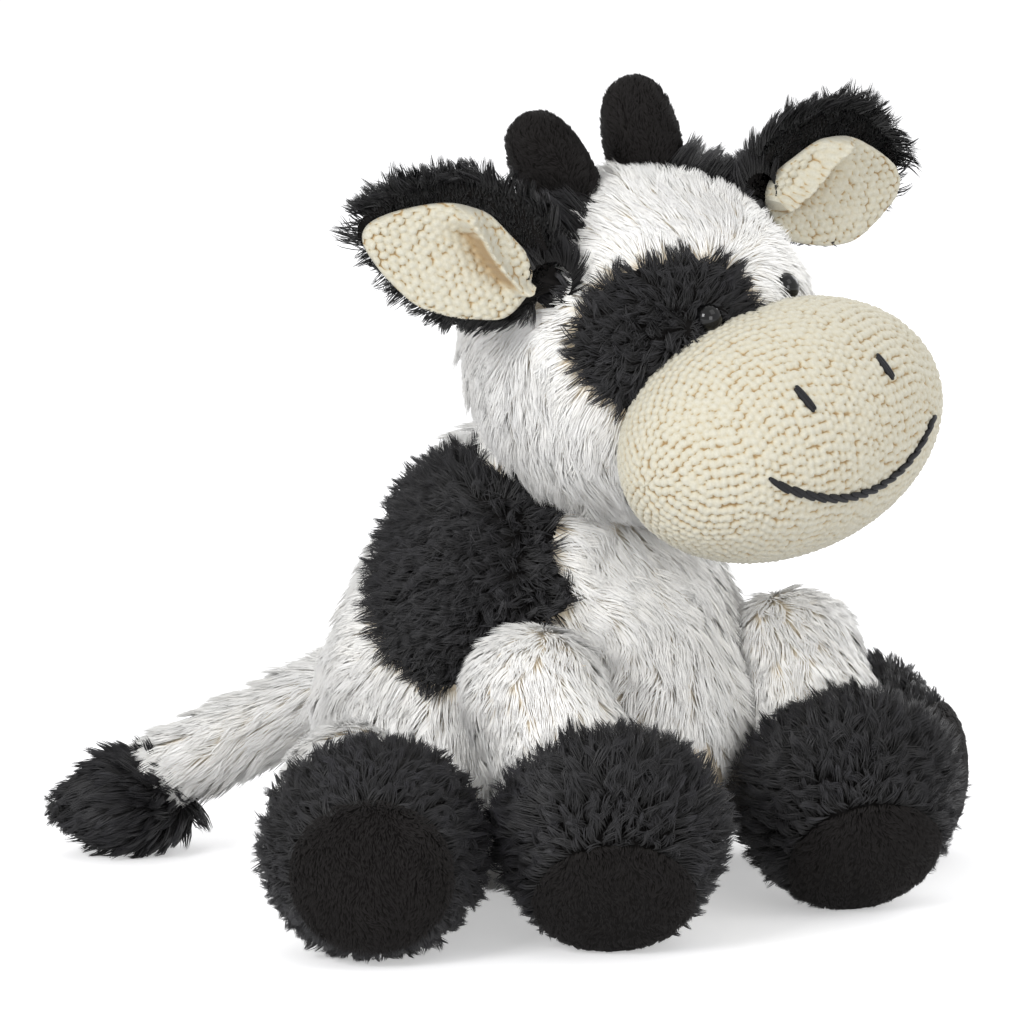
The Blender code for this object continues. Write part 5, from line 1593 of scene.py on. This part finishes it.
def make_tail():
    """The sleeve's cloth and white pile stop inside the tuft, which is black all over."""
    tail_end = np.linalg.norm(TAIL_REACH) - TUFT_LENGTH * TAIL_IN_TUFT_SHARE
    sleeve = sleeve_form(TAIL_ROOT, TAIL_END, tail_end, TAIL.turn, TAIL.place)
    settle_piece(form_skin(sleeve, "tail_skin", WHITE_BACKING), "tail", "white_plush", "tail", fill=0.6)
    skin = form_skin(TUFT, "tail_tuft_skin", BLACK_BACKING, depth=DEEP_PILE)
    settle_piece(skin, "tail", "black_plush", "tail_tuft", fill=0.6)
    random = np.random.default_rng(SEEDS["tail"])
    points, normals = scatter(TAIL, TAIL_WHITE.count(TAIL), random,
                              lambda p: outside(p, TORSO, TUFT) & (TAIL.local(p)[:, 2] < tail_end))
    out_of_torso = 1 - smooth_step(0, 2 * TAIL_ROOT, TAIL.local(points)[:, 2])
    flow = unit(TAIL_REACH) + np.array(TAIL_DROOP) + out_of_torso[:, None] * np.array(TAIL_ROOT_COMB)
    along = TAIL.local(points)[:, 2]
    shares = 1 - TAIL_SHORTER * smooth_step(tail_end - TAIL_TAPER, tail_end, along)
    grow("tail_pile", "tail", TAIL_WHITE, points, normals, flow, random, shares)
    points, normals = scatter(TUFT, TUFT_BLACK.count(TUFT), random, above_floor)
    along = TUFT.local(points)[:, 2] / TUFT_LENGTH
    flow = even_flow(TUFT_AXIS, points) + TUFT_DROOP * down_flow(points)
    shares = 1.0 - TUFT_SHORTER * along
    grow("tail_tuft_pile", "tail", TUFT_BLACK, points, normals, flow, random, shares)


def finish_inner_nodes():
    """The filling and washers stay the solids they are, with a real finish."""
    for material, nodes in (
        (FIBRE, ("torso_stuffing", "neck_stuffing", "head_stuffing")),
        (PELLET_CLOTH, ("seat_pellet_bag",)),
        (WASHER_PLASTIC, ("eye_washer_right", "eye_washer_left")),
    ):
        for node in nodes:
            for slot in frame["nodes"][node].material_slots:
                slot.material = material


# Stage


# Each light's name, place, width in metres and power in watts. All of them look at the target.
LIGHTS = (
    ("key", (0.3, -1.6, 1.9), 1.3, 6.5),
    ("fill", (-2.0, -0.5, 1.2), 0.8, 28.0),
    ("low_front", (-0.6, -2.2, 0.5), 0.9, 10.0),
    ("top", (0.2, 0.9, 2.0), 1.4, 4.0),
    ("far_side", (2.0, 0.3, 1.0), 1.2, 14.0),
)
LIGHT_TARGET = (0, 0, 0.12)
SURROUNDINGS_LIGHT = 0.78
WHITE = (1.0, 1.0, 1.0, 1.0)
FLOOR_HALF_WIDTH, FLOOR_DROP = 6.0, 0.05 * MM
FLOOR_COLOUR, FLOOR_GLOW = (0.80, 0.80, 0.81, 1.0), 0.42
CAMERA_AZIMUTH, CAMERA_ELEVATION, CAMERA_DISTANCE = math.radians(-40.0), math.radians(9.0), 2.6
CAMERA_TARGET, CAMERA_LENS, CAMERA_SENSOR_WIDTH = (-0.0199, -0.0111, 0.129), 277.0, 36.0


def make_floor():
    size = FLOOR_HALF_WIDTH
    corners = np.array(((-size, -size, 0), (size, -size, 0), (size, size, 0), (-size, size, 0)))
    floor = mesh_object("studio_floor", corners, [np.array(((0, 1, 2, 3),))], floor_material())
    floor.location.z = -FLOOR_DROP


def choose_by_view(nodes, links, for_light, for_eye, surface):
    """One look for the light on the toy and another for what the camera sees."""
    pick = nodes.new("ShaderNodeMixShader")
    links.new(seen_directly(nodes, links), pick.inputs[0])
    links.new(for_light, pick.inputs[1])
    links.new(for_eye, pick.inputs[2])
    links.new(pick.outputs[0], surface)


def seen_directly(nodes, links):
    """1 for what the camera sees, also in a mirror or through glass, and 0 for light on the toy."""
    path = nodes.new("ShaderNodeLightPath")
    total = path.outputs["Is Camera Ray"]
    for ray in ("Is Glossy Ray", "Is Transmission Ray"):
        add = nodes.new("ShaderNodeMath")
        add.operation = "MAXIMUM"
        links.new(total, add.inputs[0])
        links.new(path.outputs[ray], add.inputs[1])
        total = add.outputs[0]
    return total


def floor_material():
    material, nodes, links, shader = new_material("studio_floor_paper")
    nodes.remove(shader)
    paper = nodes.new("ShaderNodeBsdfDiffuse")
    paper.inputs["Color"].default_value = FLOOR_COLOUR
    glow = nodes.new("ShaderNodeEmission")
    glow.inputs["Color"].default_value = WHITE
    glow.inputs["Strength"].default_value = FLOOR_GLOW
    both = nodes.new("ShaderNodeAddShader")
    links.new(paper.outputs[0], both.inputs[0])
    links.new(glow.outputs[0], both.inputs[1])
    surface = nodes["Material Output"].inputs["Surface"]
    choose_by_view(nodes, links, paper.outputs[0], both.outputs[0], surface)
    return material


def make_world():
    surroundings = bpy.data.worlds.new("studio")
    bpy.context.scene.world = surroundings
    surroundings.use_nodes = True
    nodes, links = surroundings.node_tree.nodes, surroundings.node_tree.links
    soft = nodes["Background"]
    soft.inputs["Color"].default_value = WHITE
    soft.inputs["Strength"].default_value = SURROUNDINGS_LIGHT
    white = nodes.new("ShaderNodeBackground")
    white.inputs["Color"].default_value = WHITE
    white.inputs["Strength"].default_value = 1.0
    surface = nodes["World Output"].inputs["Surface"]
    choose_by_view(nodes, links, soft.outputs[0], white.outputs[0], surface)


def area_light(name, place, size, power):
    light = bpy.data.lights.new(name, "AREA")
    light.shape = "SQUARE"
    light.size = size
    light.energy = power
    obj = bpy.data.objects.new(name, light)
    bpy.context.scene.collection.objects.link(obj)
    direction = Vector(LIGHT_TARGET) - Vector(place)
    obj.rotation_euler = direction.to_track_quat("-Z", "Y").to_euler()
    obj.location = place


def make_camera():
    level = math.cos(CAMERA_ELEVATION)
    forward = Vector((-math.sin(CAMERA_AZIMUTH) * level, math.cos(CAMERA_AZIMUTH) * level,
                      -math.sin(CAMERA_ELEVATION)))
    data = bpy.data.cameras.new("camera")
    data.lens = CAMERA_LENS
    data.sensor_width = CAMERA_SENSOR_WIDTH
    camera = bpy.data.objects.new("camera", data)
    bpy.context.scene.collection.objects.link(camera)
    camera.location = Vector(CAMERA_TARGET) - forward * CAMERA_DISTANCE
    camera.rotation_euler = forward.to_track_quat("-Z", "Y").to_euler()
    bpy.context.scene.camera = camera


def main():
    bpy.context.scene.view_settings.view_transform = "Standard"
    make_camera()
    make_world()
    make_floor()
    for name, place, size, power in LIGHTS:
        area_light(name, place, size, power)
    make_head()
    make_muzzle()
    make_stitches()
    make_eyes()
    for side in (RIGHT, LEFT):
        make_ear(side)
        make_horn(side)
    make_torso()
    for kind in ("front", "hind"):
        for side in (RIGHT, LEFT):
            make_leg(kind, side)
    make_tail()
    finish_inner_nodes()


main()
